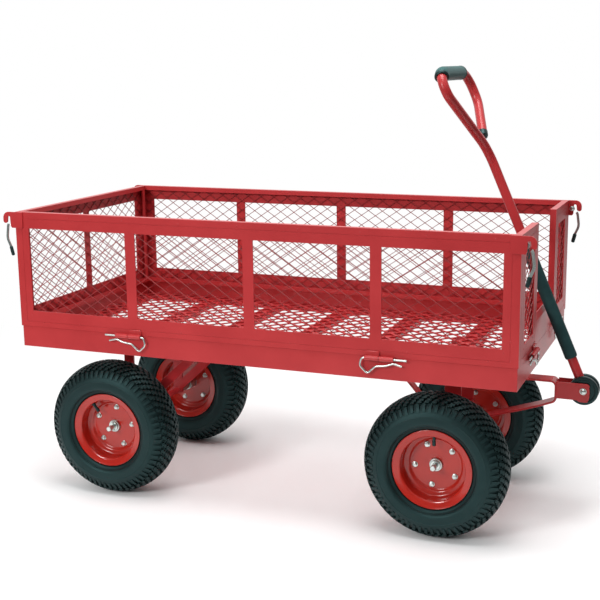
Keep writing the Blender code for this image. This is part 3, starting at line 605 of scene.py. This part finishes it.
def panel_knuckle(place, at, outboard):
    """The rolled leaf on a panel, welded on along its top."""
    low, high = sorted((at - outboard * 0.0005, at - outboard * KNUCKLE_LENGTH))
    shift = HINGE_OUT - KNUCKLE_RADIUS + KNUCKLE_WALL / 2
    top = HINGE_Z + KNUCKLE_TAB
    backing = block((low + 0.002, -PANEL_WALL / 2, HINGE_Z + 0.006), (high - 0.002, shift, top - 0.001), place, 0.0003)
    weld = bead(place(low + 0.003, 0.0006, top), place(high - 0.003, 0.0006, top), 0.0013)
    return [rolled(180, 500, [(shift, top)], low, high, place), backing, weld]


def deck_knuckle(place, at, outboard):
    """The rolled leaf on the deck rail."""
    low, high = sorted((at + outboard * 0.0005, at + outboard * KNUCKLE_LENGTH))
    middle = KNUCKLE_RADIUS - KNUCKLE_WALL / 2
    level = HINGE_Z - 0.0075
    tab = [(-0.002 - RAIL_WALL / 2, level), (HINGE_OUT - middle - 0.0005, level)]
    weld = bead(place(low + 0.003, -0.0008, level - 0.0015), place(high - 0.003, -0.0008, level - 0.0015), 0.0014)
    return [rolled(200, 520, tab, low, high, place), weld]


def build_clip(name, place, at, outboard):
    """Spring clip: a straight leg through both knuckles and a waved leg below them."""
    corners = [(0.063, 0, 0), (-0.040, 0, 0.008), (-0.045, -0.018, 0.012), (-0.027, -0.035, 0.006),
               (-0.008, -0.0175, 0.010), (0.016, -0.0145, 0.012), (0.032, -0.0085, 0.008), (0.052, -0.0135, 0)]
    path = [place(at + outboard * a, HINGE_OUT, HINGE_Z + up) for a, up in rounded(corners, 6)]
    marks = lengths(path)
    path = along_path(path, [0, 0.0006, *marks[1:-1], marks[-1] - 0.0006, marks[-1]])
    radii = [0.6 * CLIP_RADIUS] + [CLIP_RADIUS] * (len(path) - 2) + [0.6 * CLIP_RADIUS]
    piece(name.replace("hinge_clip", "spring_clip"), "zinc_plate", "deck", [swept(path, radii, 14)], name)


# ---- sides and gates

def panel_frame(low, high, bars, place):
    """Pressed frame between two ends: creased face sheet with windows, turned edge all round and a lip behind."""
    half_bar = PANEL_BAR / 2

    def inset(along, up):
        return min(along - low, high - along), min(up - PANEL_BOTTOM, PANEL_TOP - up)

    def solid(along, out, up):
        side, rail = inset(along, up)
        edge = min(side, rail)
        if out > -PANEL_WALL:
            inside = min(side - CREASE_END, PANEL_TOP - CREASE_TOP - up, up - PANEL_BOTTOM - CREASE_BOTTOM)
            if out > -CREASE_DEPTH and 0 < inside < CREASE_WIDTH:
                return False
            return side < PANEL_STILE or rail < PANEL_RAIL or any(abs(along - bar) < half_bar for bar in bars)
        return edge < PANEL_WALL or (edge < PANEL_LIP and out < PANEL_WALL - PANEL_DEPTH)

    def steps(crease, width):
        return sorted([0, PANEL_WALL, PANEL_LIP, crease, crease + CREASE_WIDTH, width])

    ends = steps(CREASE_END, PANEL_STILE)
    alongs = [low + e for e in ends] + [b + s for b in bars for s in (-half_bar, half_bar)]
    alongs += [high - e for e in ends[::-1]]
    ups = [PANEL_BOTTOM + r for r in steps(CREASE_BOTTOM, PANEL_RAIL)]
    ups += [PANEL_TOP - r for r in steps(CREASE_TOP, PANEL_RAIL)[::-1]]
    outs = [-PANEL_DEPTH, PANEL_WALL - PANEL_DEPTH, -PANEL_WALL, -CREASE_DEPTH, 0]
    return lattice(alongs, outs, ups, solid, place, 0.0007)


def spot_welds(low, high, place):
    """A row of pips along each rail, the lower one sparser, and a few round each bottom corner."""
    marks = []
    for pitch, first, up in ((0.146, 0.148, PANEL_TOP - 0.0095), (0.272, 0.167, PANEL_BOTTOM + 0.015)):
        count = int((high - low - first - 0.030) / pitch) + 1
        marks += [(low + first + n * pitch, up) for n in range(count)]
    for end, way in ((low, 1), (high, -1)):
        marks += [(end + way * 0.018, PANEL_BOTTOM + 0.056), (end + way * 0.033, PANEL_BOTTOM + 0.030),
                  (end + way * 0.016, PANEL_BOTTOM + 0.0145), (end + way * 0.065, PANEL_BOTTOM + 0.0105)]
    return [pip(place, along, up) for along, up in marks]


def panel_sheet(low, high, place):
    """The expanded mesh behind the face, tucked inside the turned edge."""
    margin = PANEL_WALL + 0.001
    middle = -PANEL_WALL - 2 * GAP - MESH_THICK / 2
    return expanded((low + margin, PANEL_BOTTOM + margin), (high - margin, PANEL_TOP - margin), MESH_PITCH,
                    MESH_STRAND, MESH_THICK, 0.0002, 1.0, lambda a, out, b: place(a, middle + out, b))


def bracket_plate(end, place):
    """Corner plate on a long side that reaches past the end gate and turns down again as a hook."""
    top = PANEL_TOP - GAP
    gap_in, gap_out, knob = 0.0125, 0.0190, 0.0060
    crown, corner = 0.015, 0.004
    foot = top - LATCH_HEIGHT
    outline = [(-LATCH_OVERLAP, top)] + arc((-LATCH_OVERLAP + corner, foot + corner), corner, 180, 270, 6)
    outline += [(gap_in - 0.004, foot), (gap_in - 0.001, foot + 0.004), (gap_in, top - 0.018)]
    outline += arc(((gap_in + gap_out) / 2, top - 0.0135), (gap_out - gap_in) / 2, 180, 0, 8)
    outline += arc((LATCH_REACH - knob, top - 0.0215), knob, 180, 360, 10)
    outline += arc((LATCH_REACH - crown, top - crown), crown, 0, 90, 10)
    return prism([(end * (END_FACE + x), z) for x, z in outline], -PANEL_WALL / 4, LATCH_PLATE, place, 0.0007)


def build_side(side):
    place, body = side_place(side), f"side_{side}"
    shapes = [panel_frame(-END_FACE, END_FACE, SIDE_BARS, place), *spot_welds(-END_FACE, END_FACE, place)]
    for end in (-1, 1):
        shapes += [bracket_plate(end, place), *panel_knuckle(place, end * SIDE_HINGE_AT, end)]
    piece(f"side_panel_{side}", "red_paint", body, shapes, f"side_frame_{side}")
    # The side mesh wears the darker red, which is painted shade.
    piece(f"side_expanded_{side}", "red_paint", body, [panel_sheet(-END_FACE, END_FACE, place)], f"side_mesh_{side}",
          look="shade_darkened_mesh_paint")
    for end_name, end in ENDS.items():
        tag = f"{end_name}_{side}"
        build_clip(f"hinge_clip_{tag}", place, end * SIDE_HINGE_AT, end)
        build_latch(tag, place, end, body)


def build_latch(tag, place, end, body):
    """Stud in the bracket, and the bent lever with a dipped tip that hangs from it behind the plate."""
    centre = place(end * (END_FACE + LATCH_BOLT_OUT), 0, LATCH_BOLT_Z)
    out = place(0, 1, 0) - place(0, 0, 0)
    lever_face = -GAP - PANEL_WALL / 4
    lever_back = lever_face - LATCH_LEVER
    nut_face = lever_back - GAP
    back = nut_face - 0.0012
    piece(f"latch_fixing_{tag}", "zinc_plate", body,
          [rod(0.0029, nut_face, LATCH_PLATE - 0.0004, centre, out, 16),
           rod(0.0066, nut_face, back, centre, out, 28),
           turned([(0, back), (0.0054, back), (0.0050, back - 0.0022), (0.0034, back - 0.0032), (0, back - 0.0036)],
                  centre, out, 28)],
          f"latch_bolt_{tag}")

    blade = rounded([(0.0, 0.0, 0), (0.0135, -0.012, 0.010), (0.0180, -0.045, 0.030), (0.0085, -0.066, 0)], 8)
    tip = [Vector((0.0092, -0.0645)), Vector((0.0035, -0.0870))]

    def outline(path, thickness):
        return [(end * (END_FACE + LATCH_BOLT_OUT + x), LATCH_BOLT_Z + z) for x, z in strip(path, thickness)]

    eye = turned([(0.0034, lever_back), (0.0062, lever_back), (0.0062, lever_face), (0.0034, lever_face)],
                 centre, out, 24)
    piece(f"latch_arm_{tag}", "zinc_plate", f"latch_{tag}",
          [prism(outline(blade[1:], 0.0062), lever_back, lever_face, place, 0.0005), eye], f"latch_lever_{tag}")
    mid = (lever_back + lever_face) / 2
    path = [place(end * (END_FACE + LATCH_BOLT_OUT + p.x), mid, LATCH_BOLT_Z + p.y)
            for p in along_path(tip, [0.0, 0.0008, 0.0022, 0.011, 0.0205, 0.0222, 0.0230])]
    dip = swept(path, [0.0036, 0.0044, 0.0047, 0.0048, 0.0046, 0.0036, 0.0018], 20)
    flat = 0.55  # how thick the dip is beside its width
    for vert in dip.verts:
        vert.co.y = path[0].y + (vert.co.y - path[0].y) * flat
    piece(f"latch_tip_{tag}", "black_plastic", f"latch_{tag}", [dip])


def build_gate(name, place, low, high, bars, hinges):
    shapes = [panel_frame(low, high, bars, place), *spot_welds(low, high, place)]
    for at in hinges:
        outboard = 1 if at > 0 else -1
        shapes += panel_knuckle(place, at, outboard)
        suffix = ("_left" if at > 0 else "_right") if len(hinges) > 1 else ""
        build_clip(f"hinge_clip_{name}{suffix}", place, at, outboard)
    piece(f"{name}_panel", "red_paint", name, shapes, f"{name}_frame")
    # The gate mesh wears the darker red, which is painted shade.
    piece(f"{name}_expanded", "red_paint", name, [panel_sheet(low, high, place)], f"{name}_mesh", look="shade_darkened_mesh_paint")


# ---- wheels

def oval(angle):
    """A point (u, radius) on the tyre's outer line, from the tread's middle at 0 to the widest place at 90 degrees."""
    return 0.055 * sin(radians(angle)) ** 0.85, 0.1135 + 0.055 * cos(radians(angle)) ** 0.85


CROWN = [oval(7 * n) for n in range(11)]
SIDEWALL = [oval(74), (0.0543, 0.1268), (0.0550, 0.1261), (0.0544, 0.1252), oval(82), oval(89), (0.0546, 0.1100),
            (0.0538, 0.1075), (0.0520, 0.1048), (0.0503, 0.1035), (0.0508, 0.1026), (0.0490, 0.1016), (0.0470, 0.1005),
            (0.0452, 0.0990), (0.0445, 0.0975), (0.0434, 0.0962), (0.0410, 0.0948), (0.0385, 0.0944), (0.0345, 0.0800)]
GROOVE = [0.0058] * 5 + [0.0056, 0.0052, 0.0046, 0.0036, 0.0022, 0.0008]  # how deep the tread is cut at each point
TREAD_COUNT = 56
TREAD_ROWS = (  # from, to, and in steps of the pattern: shift and length
    (0.0012, 0.0084, 0.00, 0.64), (0.0084, 0.0152, 0.28, 0.64), (0.0170, 0.0232, 0.62, 0.64),
    (0.0232, 0.0292, 0.90, 0.64), (0.0304, 0.0356, 0.22, 0.60), (0.0356, 0.0405, 0.48, 0.56))
LUG_COUNT = 64
BOLT_CIRCLE = 0.050


def crown_at(u):
    """The tyre's outer line at a distance from the middle: (u, radius, inward normal)."""
    side, u = (-1 if u < 0 else 1), abs(u)
    n = next((i for i, (x, _) in enumerate(CROWN[1:]) if x >= u), len(CROWN) - 2)
    (x0, r0), (x1, r1) = CROWN[n], CROWN[n + 1]
    share = (u - x0) / (x1 - x0)
    normal = Vector((r1 - r0, -(x1 - x0))).normalized()
    return side * u, r0 + share * (r1 - r0), Vector((side * normal.x, normal.y))


def tread_block(stations, start, end, deep, spot):
    """A rubber block over a stretch of the crown and a range of angles, its sides drafted."""
    bm = bmesh.new()
    draft = 0.0032  # radians that each flank leans in
    rows = []
    for u in stations:
        x, r, inward = crown_at(u)
        sunk = (x + inward.x * deep, r + inward.y * deep)
        rows.append([bm.verts.new(spot(*sunk, start)), bm.verts.new(spot(x, r, start + draft)),
                     bm.verts.new(spot(x, r, end - draft)), bm.verts.new(spot(*sunk, end))])
    for first, second in zip(rows, rows[1:]):
        for n in range(4):
            bm.faces.new((first[n - 1], first[n], second[n], second[n - 1]))
    bm.faces.new(rows[0])
    bm.faces.new(rows[-1])
    return bm


def build_tread(centre, sign):
    """Interlocked turf blocks over the crown and a row of lugs down each shoulder."""
    def spot(u, r, angle):
        return centre + Vector((r * cos(angle), sign * u, r * sin(angle)))

    blocks = []
    turn = 2 * pi / TREAD_COUNT
    for n, half, (low, high, shift, length) in product(range(TREAD_COUNT), (-1, 1), TREAD_ROWS):
        start = (n + (0.0 if half > 0 else 0.5) + shift) * turn
        blocks.append(tread_block([half * low, half * (low + high) / 2, half * high], start, start + length * turn,
                                  0.0068, spot))
    turn = 2 * pi / LUG_COUNT
    for n, half in product(range(LUG_COUNT), (-1, 1)):
        start = (n + (0.0 if half > 0 else 0.5)) * turn
        stations = (0.0424, 0.0448, 0.0472, 0.0492, 0.0508, 0.0512 if n % 2 else 0.0520)
        blocks.append(tread_block([half * u for u in stations], start, start + 0.52 * turn, 0.0050, spot))
    return blocks


def build_wheel(tag, x, sign, turn):
    """Turf tyre, enamelled two-piece rim with its bolts and valve, and the plated hub; turn is where the bolts sit."""
    body = f"wheel_{tag}"
    centre = Vector((x, sign * WHEEL_Y, TYRE_RADIUS))
    axis = Vector((0, sign, 0))
    base = []
    for (u, r), deep in zip(CROWN, GROOVE):
        _, _, inward = crown_at(u)
        base.append((r + inward.y * deep, u + inward.x * deep))
    outer = base + [(r, u) for u, r in SIDEWALL]
    inner = [(0.0830, 0.0300), (0.1020, 0.0380), (0.1300, 0.0470), (0.1500, 0.0380), (0.1590, 0.0)]
    profile = [(r, -u) for r, u in outer[:0:-1]] + outer + inner + [(r, -u) for r, u in inner[-2::-1]]
    piece(f"turf_tyre_{tag}", "tyre_rubber", body, [turned(profile, centre, axis, 128), *build_tread(centre, sign)],
          f"tyre_{tag}")

    dish = [(HUB_RADIUS + 0.0003, 0.0025), (0.0565, 0.0025), (0.0590, 0.0030), (0.0605, 0.0042), (0.0620, 0.0062),
            (0.0635, 0.0078), (0.0655, 0.0086), (0.0705, 0.0092), (0.0730, 0.0100), (0.0744, 0.0120), (0.0750, 0.0150),
            (0.0750, 0.0345), (0.0755, 0.0368), (0.0770, 0.0384), (0.0800, 0.0396), (0.0860, 0.0410), (0.0900, 0.0424),
            (0.0914, 0.0430), (0.0925, 0.0426), (0.0928, 0.0412), (0.0922, 0.0400), (0.0905, 0.0394), (0.0830, 0.0376),
            (0.0792, 0.0362)]
    piece(f"pressed_rim_{tag}", "rim_paint", body, [turned(dish + [(r, -u) for r, u in dish[::-1]], centre, axis, 96)],
          f"rim_{tag}")

    def around(angle, radius, out):
        return centre + Vector((radius * cos(angle), sign * out, radius * sin(angle)))

    fixings = []
    for n in range(5):
        angle = turn + 2 * pi * n / 5
        for face, dome in ((1, 0.0012), (-1, 0.0)):
            at = around(angle, BOLT_CIRCLE, face * 0.0025)
            fixings += [hexagon(at, axis * face, 0.0100, 0.0008, 0.0058, dome),
                        turned([(0, 0), (0.0066, 0), (0.0066, 0.0006), (0.0060, 0.0010), (0, 0.0010)], at,
                               axis * face, 24)]
    ring = [(0.0073, -0.0335), (0.0120, -0.0335), (0.0142, -0.0340), (0.0150, -0.0332), (0.0150, 0.0072),
            (0.0143, 0.0080), (0.0122, 0.0080), (0.0118, 0.0068), (0.0100, 0.0068), (0.0096, 0.0078), (0.0073, 0.0078)]
    fixings.append(turned(ring, centre, axis, 40))
    piece(f"hub_fixings_{tag}", "zinc_plate", body, fixings, f"wheel_hub_{tag}")

    valve_at = turn + radians(-25)
    path = [around(valve_at, r, 0.0235) for r in (0.0768, 0.0745, 0.0725, 0.0700, 0.0620, 0.0612, 0.0515, 0.0508)]
    piece(f"valve_{tag}", "black_plastic", body,
          [swept(path, [0.0062, 0.0058, 0.0044, 0.0038, 0.0034, 0.0042, 0.0042, 0.0034], 20)])


# ---- axles

def build_stubs(tag, x, body):
    """Turned axle ends with a shoulder, the washers that hold the wheels on, and split pins."""
    shapes = []
    for sign in (-1, 1):
        centre, axis = Vector((x, 0, TYRE_RADIUS)), Vector((0, sign, 0))
        inner, outer = WHEEL_Y - 0.035, WHEEL_Y + 0.009
        end = [(0, 0.139), (0.0110, 0.139), (0.0115, inner - 0.0006), (0.0109, inner), (AXLE_RADIUS, inner),
               (AXLE_RADIUS, AXLE_TIP - 0.0012), (AXLE_RADIUS - 0.0012, AXLE_TIP), (0, AXLE_TIP)]
        washer = [(AXLE_RADIUS + 0.0002, outer), (0.0110, outer), (0.0115, outer + 0.0005), (0.0110, outer + 0.0018),
                  (AXLE_RADIUS + 0.0002, outer + 0.0018)]
        shapes += [turned(end, centre, axis, 32), turned(washer, centre, axis, 32)]
        pin_y = sign * (outer + 0.0045)
        legs = [Vector((x + dx, pin_y, TYRE_RADIUS + dz)) for dx, dz in
                ((0.0012, -0.0125), (0.0008, 0.0080), (0.0030, 0.0110), (0.0, 0.0135), (-0.0030, 0.0110),
                 (-0.0008, 0.0080), (-0.0024, -0.0120))]
        shapes.append(swept(legs, 0.0009, 10))
    piece(f"axle_ends_{tag}", "zinc_plate", body, shapes)


def build_rear_axle():
    """Round shaft held at each side by a post under a foot plate and a flat strut that runs up forwards."""
    x, low, high = REAR_AXLE_X, TYRE_RADIUS - STRUT_BELOW, DECK_BOTTOM + RAIL_WALL
    run = (high - low) / STRUT_SLOPE
    back, front = x - STRUT_BEHIND, x + STRUT_AHEAD
    strut = [(back, low), (front, low), (front + run, high), (back + run, high)]
    shapes = [rod(REAR_SHAFT_RADIUS, -AXLE_TUBE_END, AXLE_TUBE_END, (x, 0, TYRE_RADIUS), (0, 1, 0), 32)]
    for sign in (-1, 1):
        post, flat, foot = (sorted((sign * (POST_Y + near), sign * (POST_Y + far)))
                            for near, far in ((0.0, POST_THICK), (-0.004, 0.0002), (-0.010, 0.016)))
        shapes += [block((x - POST_HALF, post[0], low), (x + POST_HALF, post[1], high - 0.001)),
                   block((x - 0.030, foot[0], high - FOOT_THICK), (x + 0.070, foot[1], high), bevel=0.0011),
                   prism(strut, *flat, row, 0.0007)]
        shapes += bead_round((x - POST_HALF, post[0]), (x + POST_HALF, post[1]), high - FOOT_THICK)
        collar = turned([(0.0075, -0.0016), (0.0098, -0.0010), (0.0104, 0.0), (0.0098, 0.0010), (0.0075, 0.0016)],
                        (x, flat[0] if sign > 0 else flat[1], TYRE_RADIUS), (0, 1, 0), 24)
        head, weld_y, weld_z = x - 0.016 + run, flat[0] + 0.001, high - 0.001
        shapes += [collar, bead((head - 0.010, weld_y, weld_z), (head + 0.012, weld_y, weld_z), 0.0020)]
    piece("rear_axle_frame", "red_paint", "deck", shapes, "rear_axle")
    build_stubs("rear", x, "deck")


def build_front_mount():
    x, top = FRONT_AXLE_X, DECK_BOTTOM + RAIL_WALL
    low, wall, half_x = TURNTABLE_Z + 0.001, TURNTABLE_PLATE, 0.040
    web, wing = 0.075, 0.110

    def solid(_, y, z):
        return (z < low + wall and abs(y) < web) or web - wall < abs(y) < web or (z > top - wall and abs(y) > web)

    ys = [web - wall, web, wing]
    shapes = [lattice([x - half_x, x + half_x], [-y for y in ys[::-1]] + ys, [low, low + wall, top - wall, top], solid,
                      row, 0.0010)]
    piece("turntable_hat", "red_paint", "deck", shapes, "front_axle_mount")
    foot = TYRE_RADIUS + AXLE_TUBE + GAP + BRACE_THICK / 2
    path = rounded([(BRACE_HEAD, top - 0.0018, 0), (x - 0.0305, foot, 0.012), (x + 0.009, foot, 0)], 6)
    brace = prism(strip(path, BRACE_THICK), -BRACE_HALF_WIDTH, BRACE_HALF_WIDTH, row, 0.0008)
    weld_x, weld_y = BRACE_HEAD + 0.003, BRACE_HALF_WIDTH - 0.001
    weld = bead((weld_x, -weld_y, top - 0.001), (weld_x, weld_y, top - 0.001), 0.0020)
    piece("axle_brace", "red_paint", "deck", [brace, weld], "front_brace")


def build_front_axle():
    x, top = FRONT_AXLE_X, TURNTABLE_Z - 0.001
    plate, post, post_half, wall = top - TURNTABLE_PLATE, 0.068, 0.020, 0.006
    web_low, web_high = TYRE_RADIUS + AXLE_TUBE, TYRE_RADIUS + 0.075
    shapes = [block((x - AXLE_TUBE, -AXLE_TUBE_END, TYRE_RADIUS - AXLE_TUBE), (x + AXLE_TUBE, AXLE_TUBE_END, web_low),
                    bevel=0.0022),
              block((x - 0.035, -post, plate), (x + 0.035, post, top), bevel=0.0012),
              block((x + post_half - wall, -post + wall, web_low), (x + post_half, post - wall, web_high))]
    for sign in (-1, 1):
        y = sorted((sign * (post - wall), sign * post))
        shapes.append(block((x - post_half, y[0], web_low - 0.001), (x + post_half, y[1], plate)))
        shapes += bead_round((x - 0.014, y[0]), (x + 0.014, y[1]), web_low)
        shapes += bead_round((x - post_half, y[0]), (x + post_half, y[1]), plate)
    stud = [(0, web_low), (0.0040, web_low), (0.0040, web_low + 0.0090), (0.0034, web_low + 0.0095),
            (0, web_low + 0.0095)]
    shapes.append(turned(stud, (x, 0, 0), (0, 0, 1), 20))
    piece("fork", "red_paint", "front_axle", shapes, "front_axle")
    build_stubs("front", x, "front_axle")


# ---- drawbar and handle

def build_drawbar():
    half = 0.0025
    arm_z = TURNTABLE_Z - 0.0063 - half
    nose = DECK_X + 0.645
    corners = [(FRONT_AXLE_X + 0.021, arm_z, 0), (nose, arm_z, 0.012), (nose, 0.284, 0.012),
               (nose - 0.038, 0.2695, 0.04), (FRONT_AXLE_X + 0.0215, 0.213, 0)]
    shapes = [prism(strip(rounded(corners, 8), 2 * half), -DRAWBAR_HALF, DRAWBAR_HALF, row, 0.0010)]
    front, high, low = PIVOT.x + 0.0145, PIVOT.z + 0.018, PIVOT.z - 0.026
    cheek = [(nose + 0.001, high)] + arc((front - 0.008, high - 0.008), 0.008, 90, 8, 6)
    cheek += arc((front - 0.070, PIVOT.z - 0.004), 0.070, 12, -14, 6)
    cheek += arc((front - 0.0075, low + 0.005), 0.005, 0, -90, 5)
    cheek += [(front - 0.022, low), (front - 0.030, low + 0.004), (nose + 0.001, low + 0.004)]
    for sign in (-1, 1):
        y = sorted((sign * (DRAWBAR_HALF - 0.0004), sign * (DRAWBAR_HALF - 0.003)))
        shapes.append(prism(cheek, *y, row, 0.0007))
        edge = sign * (DRAWBAR_HALF - 0.001)
        shapes.append(bead((nose + 0.002, edge, low + 0.006), (nose + 0.002, edge, high - 0.002), 0.0018))
    piece("wedge_drawbar", "red_paint", "front_axle", shapes, "drawbar")

    end, axis = DRAWBAR_HALF, Vector((0, 1, 0))
    washer = [(0, 0), (0.0078, 0), (0.0080, 0.0004), (0.0078, 0.0012), (0, 0.0012)]
    domed = [(0, 0.0012), (0.0062, 0.0012), (0.0062, 0.0028), (0.0054, 0.0042), (0.0036, 0.0051), (0, 0.0055)]
    fixings = [rod(0.0048, -end, end, PIVOT, axis, 24)]
    for sign in (-1, 1):
        fixings.append(turned(washer, PIVOT + axis * sign * end, axis * sign, 32))
    fixings.append(turned(domed, PIVOT - axis * end, -axis, 32))
    fixings.append(hexagon(PIVOT + axis * end, axis, 0.0120, 0.0012, 0.0065, 0.0004))
    piece("pivot_fixing", "zinc_plate", "front_axle", fixings, "handle_pivot_bolt")


def build_handle():
    corners = [(0.014, 0, 0), (HANDLE_STRAIGHT, 0, 0.090), (HANDLE_TOP, -0.2144, 0.034), (HANDLE_TOP, 0.088, 0.045),
               (0.712, 0.088, 0.050), (0.636, 0.012, 0)]
    flat = rounded(corners, 14)
    path = [handle_place(*p) for p in flat]
    piece("loop_tube", "red_paint", "handle", [swept(path, HANDLE_TUBE, 32)], "handle_tube")

    marks = lengths(path)
    start = next(m for m, p in zip(marks, flat) if p.x > HANDLE_TOP - 0.008)
    end = start + GRIP_LENGTH
    stations = [start, start + 0.001, start + 0.004, *spread(start + 0.008, end - 0.008, 24), end - 0.004, end - 0.001,
                end]
    bulge = [0.0016, 0.0032, 0.0046] + [0.0050] * 24 + [0.0046, 0.0032, 0.0016]
    sleeve = swept(along_path(path, stations), [HANDLE_TUBE + b for b in bulge], 40, 0.00022)
    piece("grip_sleeve", "grip_rubber", "handle", [sleeve], "handle_grip")
    cuffs = []
    for low, high in ((start - 0.0012, start + 0.0062), (end - 0.0062, end + 0.0012)):
        spots = along_path(path, spread(low, high, 6))
        cuffs.append(swept(spots, [HANDLE_TUBE + b for b in (0.0030, 0.0048, 0.0053, 0.0053, 0.0048, 0.0030)], 36))
    piece("grip_cuffs", "black_plastic", "handle", cuffs)

    tail = (path[-1] - path[-2]).normalized()
    steps = ((-0.006, 0.0112), (-0.0055, 0.0117), (0.006, 0.0117), (0.0095, 0.0105), (0.0110, 0.0070), (0.0112, 0.002))
    piece("end_plug", "black_plastic", "handle",
          [swept([path[-1] + tail * d for d, _ in steps], [r for _, r in steps], 28)], "handle_plug")

    stations = [FOAM_FROM, FOAM_FROM + 0.0006, FOAM_FROM + 0.0022, *spread(FOAM_FROM + 0.006, FOAM_TO - 0.006, 60),
                FOAM_TO - 0.0022, FOAM_TO - 0.0006, FOAM_TO]
    radii = []
    for n, s in enumerate(stations):
        ease = min(1.0, (min(n, len(stations) - 1 - n) + 1) / 4)
        radii.append(HANDLE_TUBE + 0.0035 * (0.45 + 0.55 * ease) + 0.00018 * noise.noise(Vector((s * 40, 0, 0))))
    foam = piece("foam_wrap", "foam", "handle", [swept([handle_place(s, 0) for s in stations], radii, 36)],
                 "foam_sleeve")

    half = HUB_HALF_WIDTH
    rim = [(0.0053, -half), (0.0100, -half), (0.0110, -half + 0.0015), (0.0255, -half + 0.0015), (0.0270, -half),
           (0.0318, -half), (0.0334, -half + 0.0008), (0.0340, -half + 0.0026), (0.0340, -0.0075), (0.0334, -0.0060),
           (0.0318, -0.0052), (0.0290, -0.0048)]
    piece("pulley_hub", "black_plastic", "handle",
          [turned(rim + [(r, -u) for r, u in rim[::-1]], PIVOT, Vector((0, 1, 0)), 64)], "handle_hub")


# ---- stage

def studio_floor():
    """A pale floor that brightens to the backdrop's white away from the cart, and dims in front of it."""
    bm = bmesh.new()
    bmesh.ops.create_circle(bm, cap_ends=True, radius=40, segments=64)
    mesh = bpy.data.meshes.new("studio_floor")
    bm.to_mesh(mesh)
    bm.free()
    floor = added("studio_floor", mesh)
    material, tree, shader = finish_nodes("studio floor")
    shader.inputs["Base Color"].default_value = (0.97, 0.97, 0.97, 1)
    shader.inputs["Roughness"].default_value = 0.8
    shader.inputs["Specular IOR Level"].default_value = 0.1
    where = node(tree, "ShaderNodeTexCoord").outputs["Object"]
    far = node(tree, "ShaderNodeVectorMath", where, operation="LENGTH")
    split = node(tree, "ShaderNodeSeparateXYZ", where)
    behind = ramp(tree, split.outputs["Y"], -1.3, -0.7, FRONT_GLOW, BACKGROUND)
    beside = ramp(tree, split.outputs["X"], 1.1, 1.6, 1.0, 0.15)
    both = node(tree, "ShaderNodeMath", behind, beside, operation="MULTIPLY")
    glow = node(tree, "ShaderNodeEmission")
    tree.links.new(both.outputs[0], glow.inputs["Strength"])
    share = ramp(tree, far.outputs["Value"], 0.7, 2.2)
    mix = node(tree, "ShaderNodeMixShader", share, shader.outputs[0], glow.outputs[0])
    tree.links.new(mix.outputs[0], tree.nodes["Material Output"].inputs["Surface"])
    mesh.materials.append(material)


def studio_world():
    """White behind the cart, a soft light overhead, and dim where its front and its near side face."""
    world = bpy.data.worlds.new("studio")
    bpy.context.scene.world = world
    world.use_nodes = True
    tree = world.node_tree
    backdrop = tree.nodes["Background"]
    backdrop.inputs["Color"].default_value = (1, 1, 1, 1)
    way = node(tree, "ShaderNodeTexCoord").outputs["Generated"]
    toward = node(tree, "ShaderNodeVectorMath", way, operation="DOT_PRODUCT")
    toward.inputs[1].default_value = (-0.42, 0.90, 0.0)
    split = node(tree, "ShaderNodeSeparateXYZ", way)
    above = ramp(tree, split.outputs["Z"], 0.25, 0.85, DIM, OVERHEAD)
    blend = node(tree, "ShaderNodeMix", ramp(tree, toward.outputs["Value"], 0.25, 0.70), data_type="FLOAT")
    tree.links.new(above, blend.inputs[2])
    blend.inputs[3].default_value = BACKGROUND
    tree.links.new(blend.outputs[0], backdrop.inputs["Strength"])


def build_stage():
    """Floor, backdrop, soft lights and the camera."""
    studio_floor()
    studio_world()
    target = Vector((0, 0, 0.45))
    for name, at, size, power in LAMPS:
        data = bpy.data.lights.new(name, "AREA")
        data.shape, data.size, data.energy = "DISK", size, power
        lamp = added(name, data)
        lamp.location = at
        lamp.rotation_euler = (target - Vector(at)).to_track_quat("-Z", "Y").to_euler()

    camera = added("camera", bpy.data.cameras.new("camera"))
    azimuth, elevation, roll = CAMERA_TURN
    back = Vector((sin(azimuth) * cos(elevation), -cos(azimuth) * cos(elevation), sin(elevation)))
    across = Vector((0, 0, 1)).cross(back).normalized()
    up = back.cross(across)
    axes = Matrix((cos(roll) * across + sin(roll) * up, -sin(roll) * across + cos(roll) * up, back)).transposed()
    camera.matrix_world = Matrix.Translation(CAMERA_AT) @ axes.to_4x4()
    camera.data.lens = CAMERA_LENS
    camera.data.shift_x, camera.data.shift_y = CAMERA_SHIFT
    bpy.context.scene.camera = camera
    bpy.context.scene.view_settings.view_transform = "Standard"


build_stage()
build_deck()
build_handle_rest()
for side in SIDES:
    build_side(side)
build_gate("rear_gate", end_place("rear"), -GATE_HALF_WIDTH, GATE_HALF_WIDTH, (0.0,), (-REAR_HINGE_AT, REAR_HINGE_AT))
for side, sign in SIDES.items():
    low, high = sorted((sign * HANDLE_SLOT / 2, sign * GATE_HALF_WIDTH))
    build_gate(f"front_gate_{side}", end_place("front"), low, high, (), (sign * FRONT_HINGE_AT,))
build_rear_axle()
build_front_mount()
build_front_axle()
for tag, x, turn in (("front_left", FRONT_AXLE_X, 100), ("front_right", FRONT_AXLE_X, 115),
                     ("rear_left", REAR_AXLE_X, 100), ("rear_right", REAR_AXLE_X, 154)):
    build_wheel(tag, x, SIDES[tag.split("_")[1]], radians(turn))
build_drawbar()
build_handle()

for name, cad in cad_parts.items():
    if not cad.hide_render:
        slot = "zinc_plate" if name == "kingpin" else "red_paint"
        cad.data.materials.clear()
        cad.data.materials.append(LOOKS[slot])
        edge = cad.modifiers.new("rounded edges", "BEVEL")
        edge.width, edge.segments, edge.limit_method = 0.0006, 2, "ANGLE"
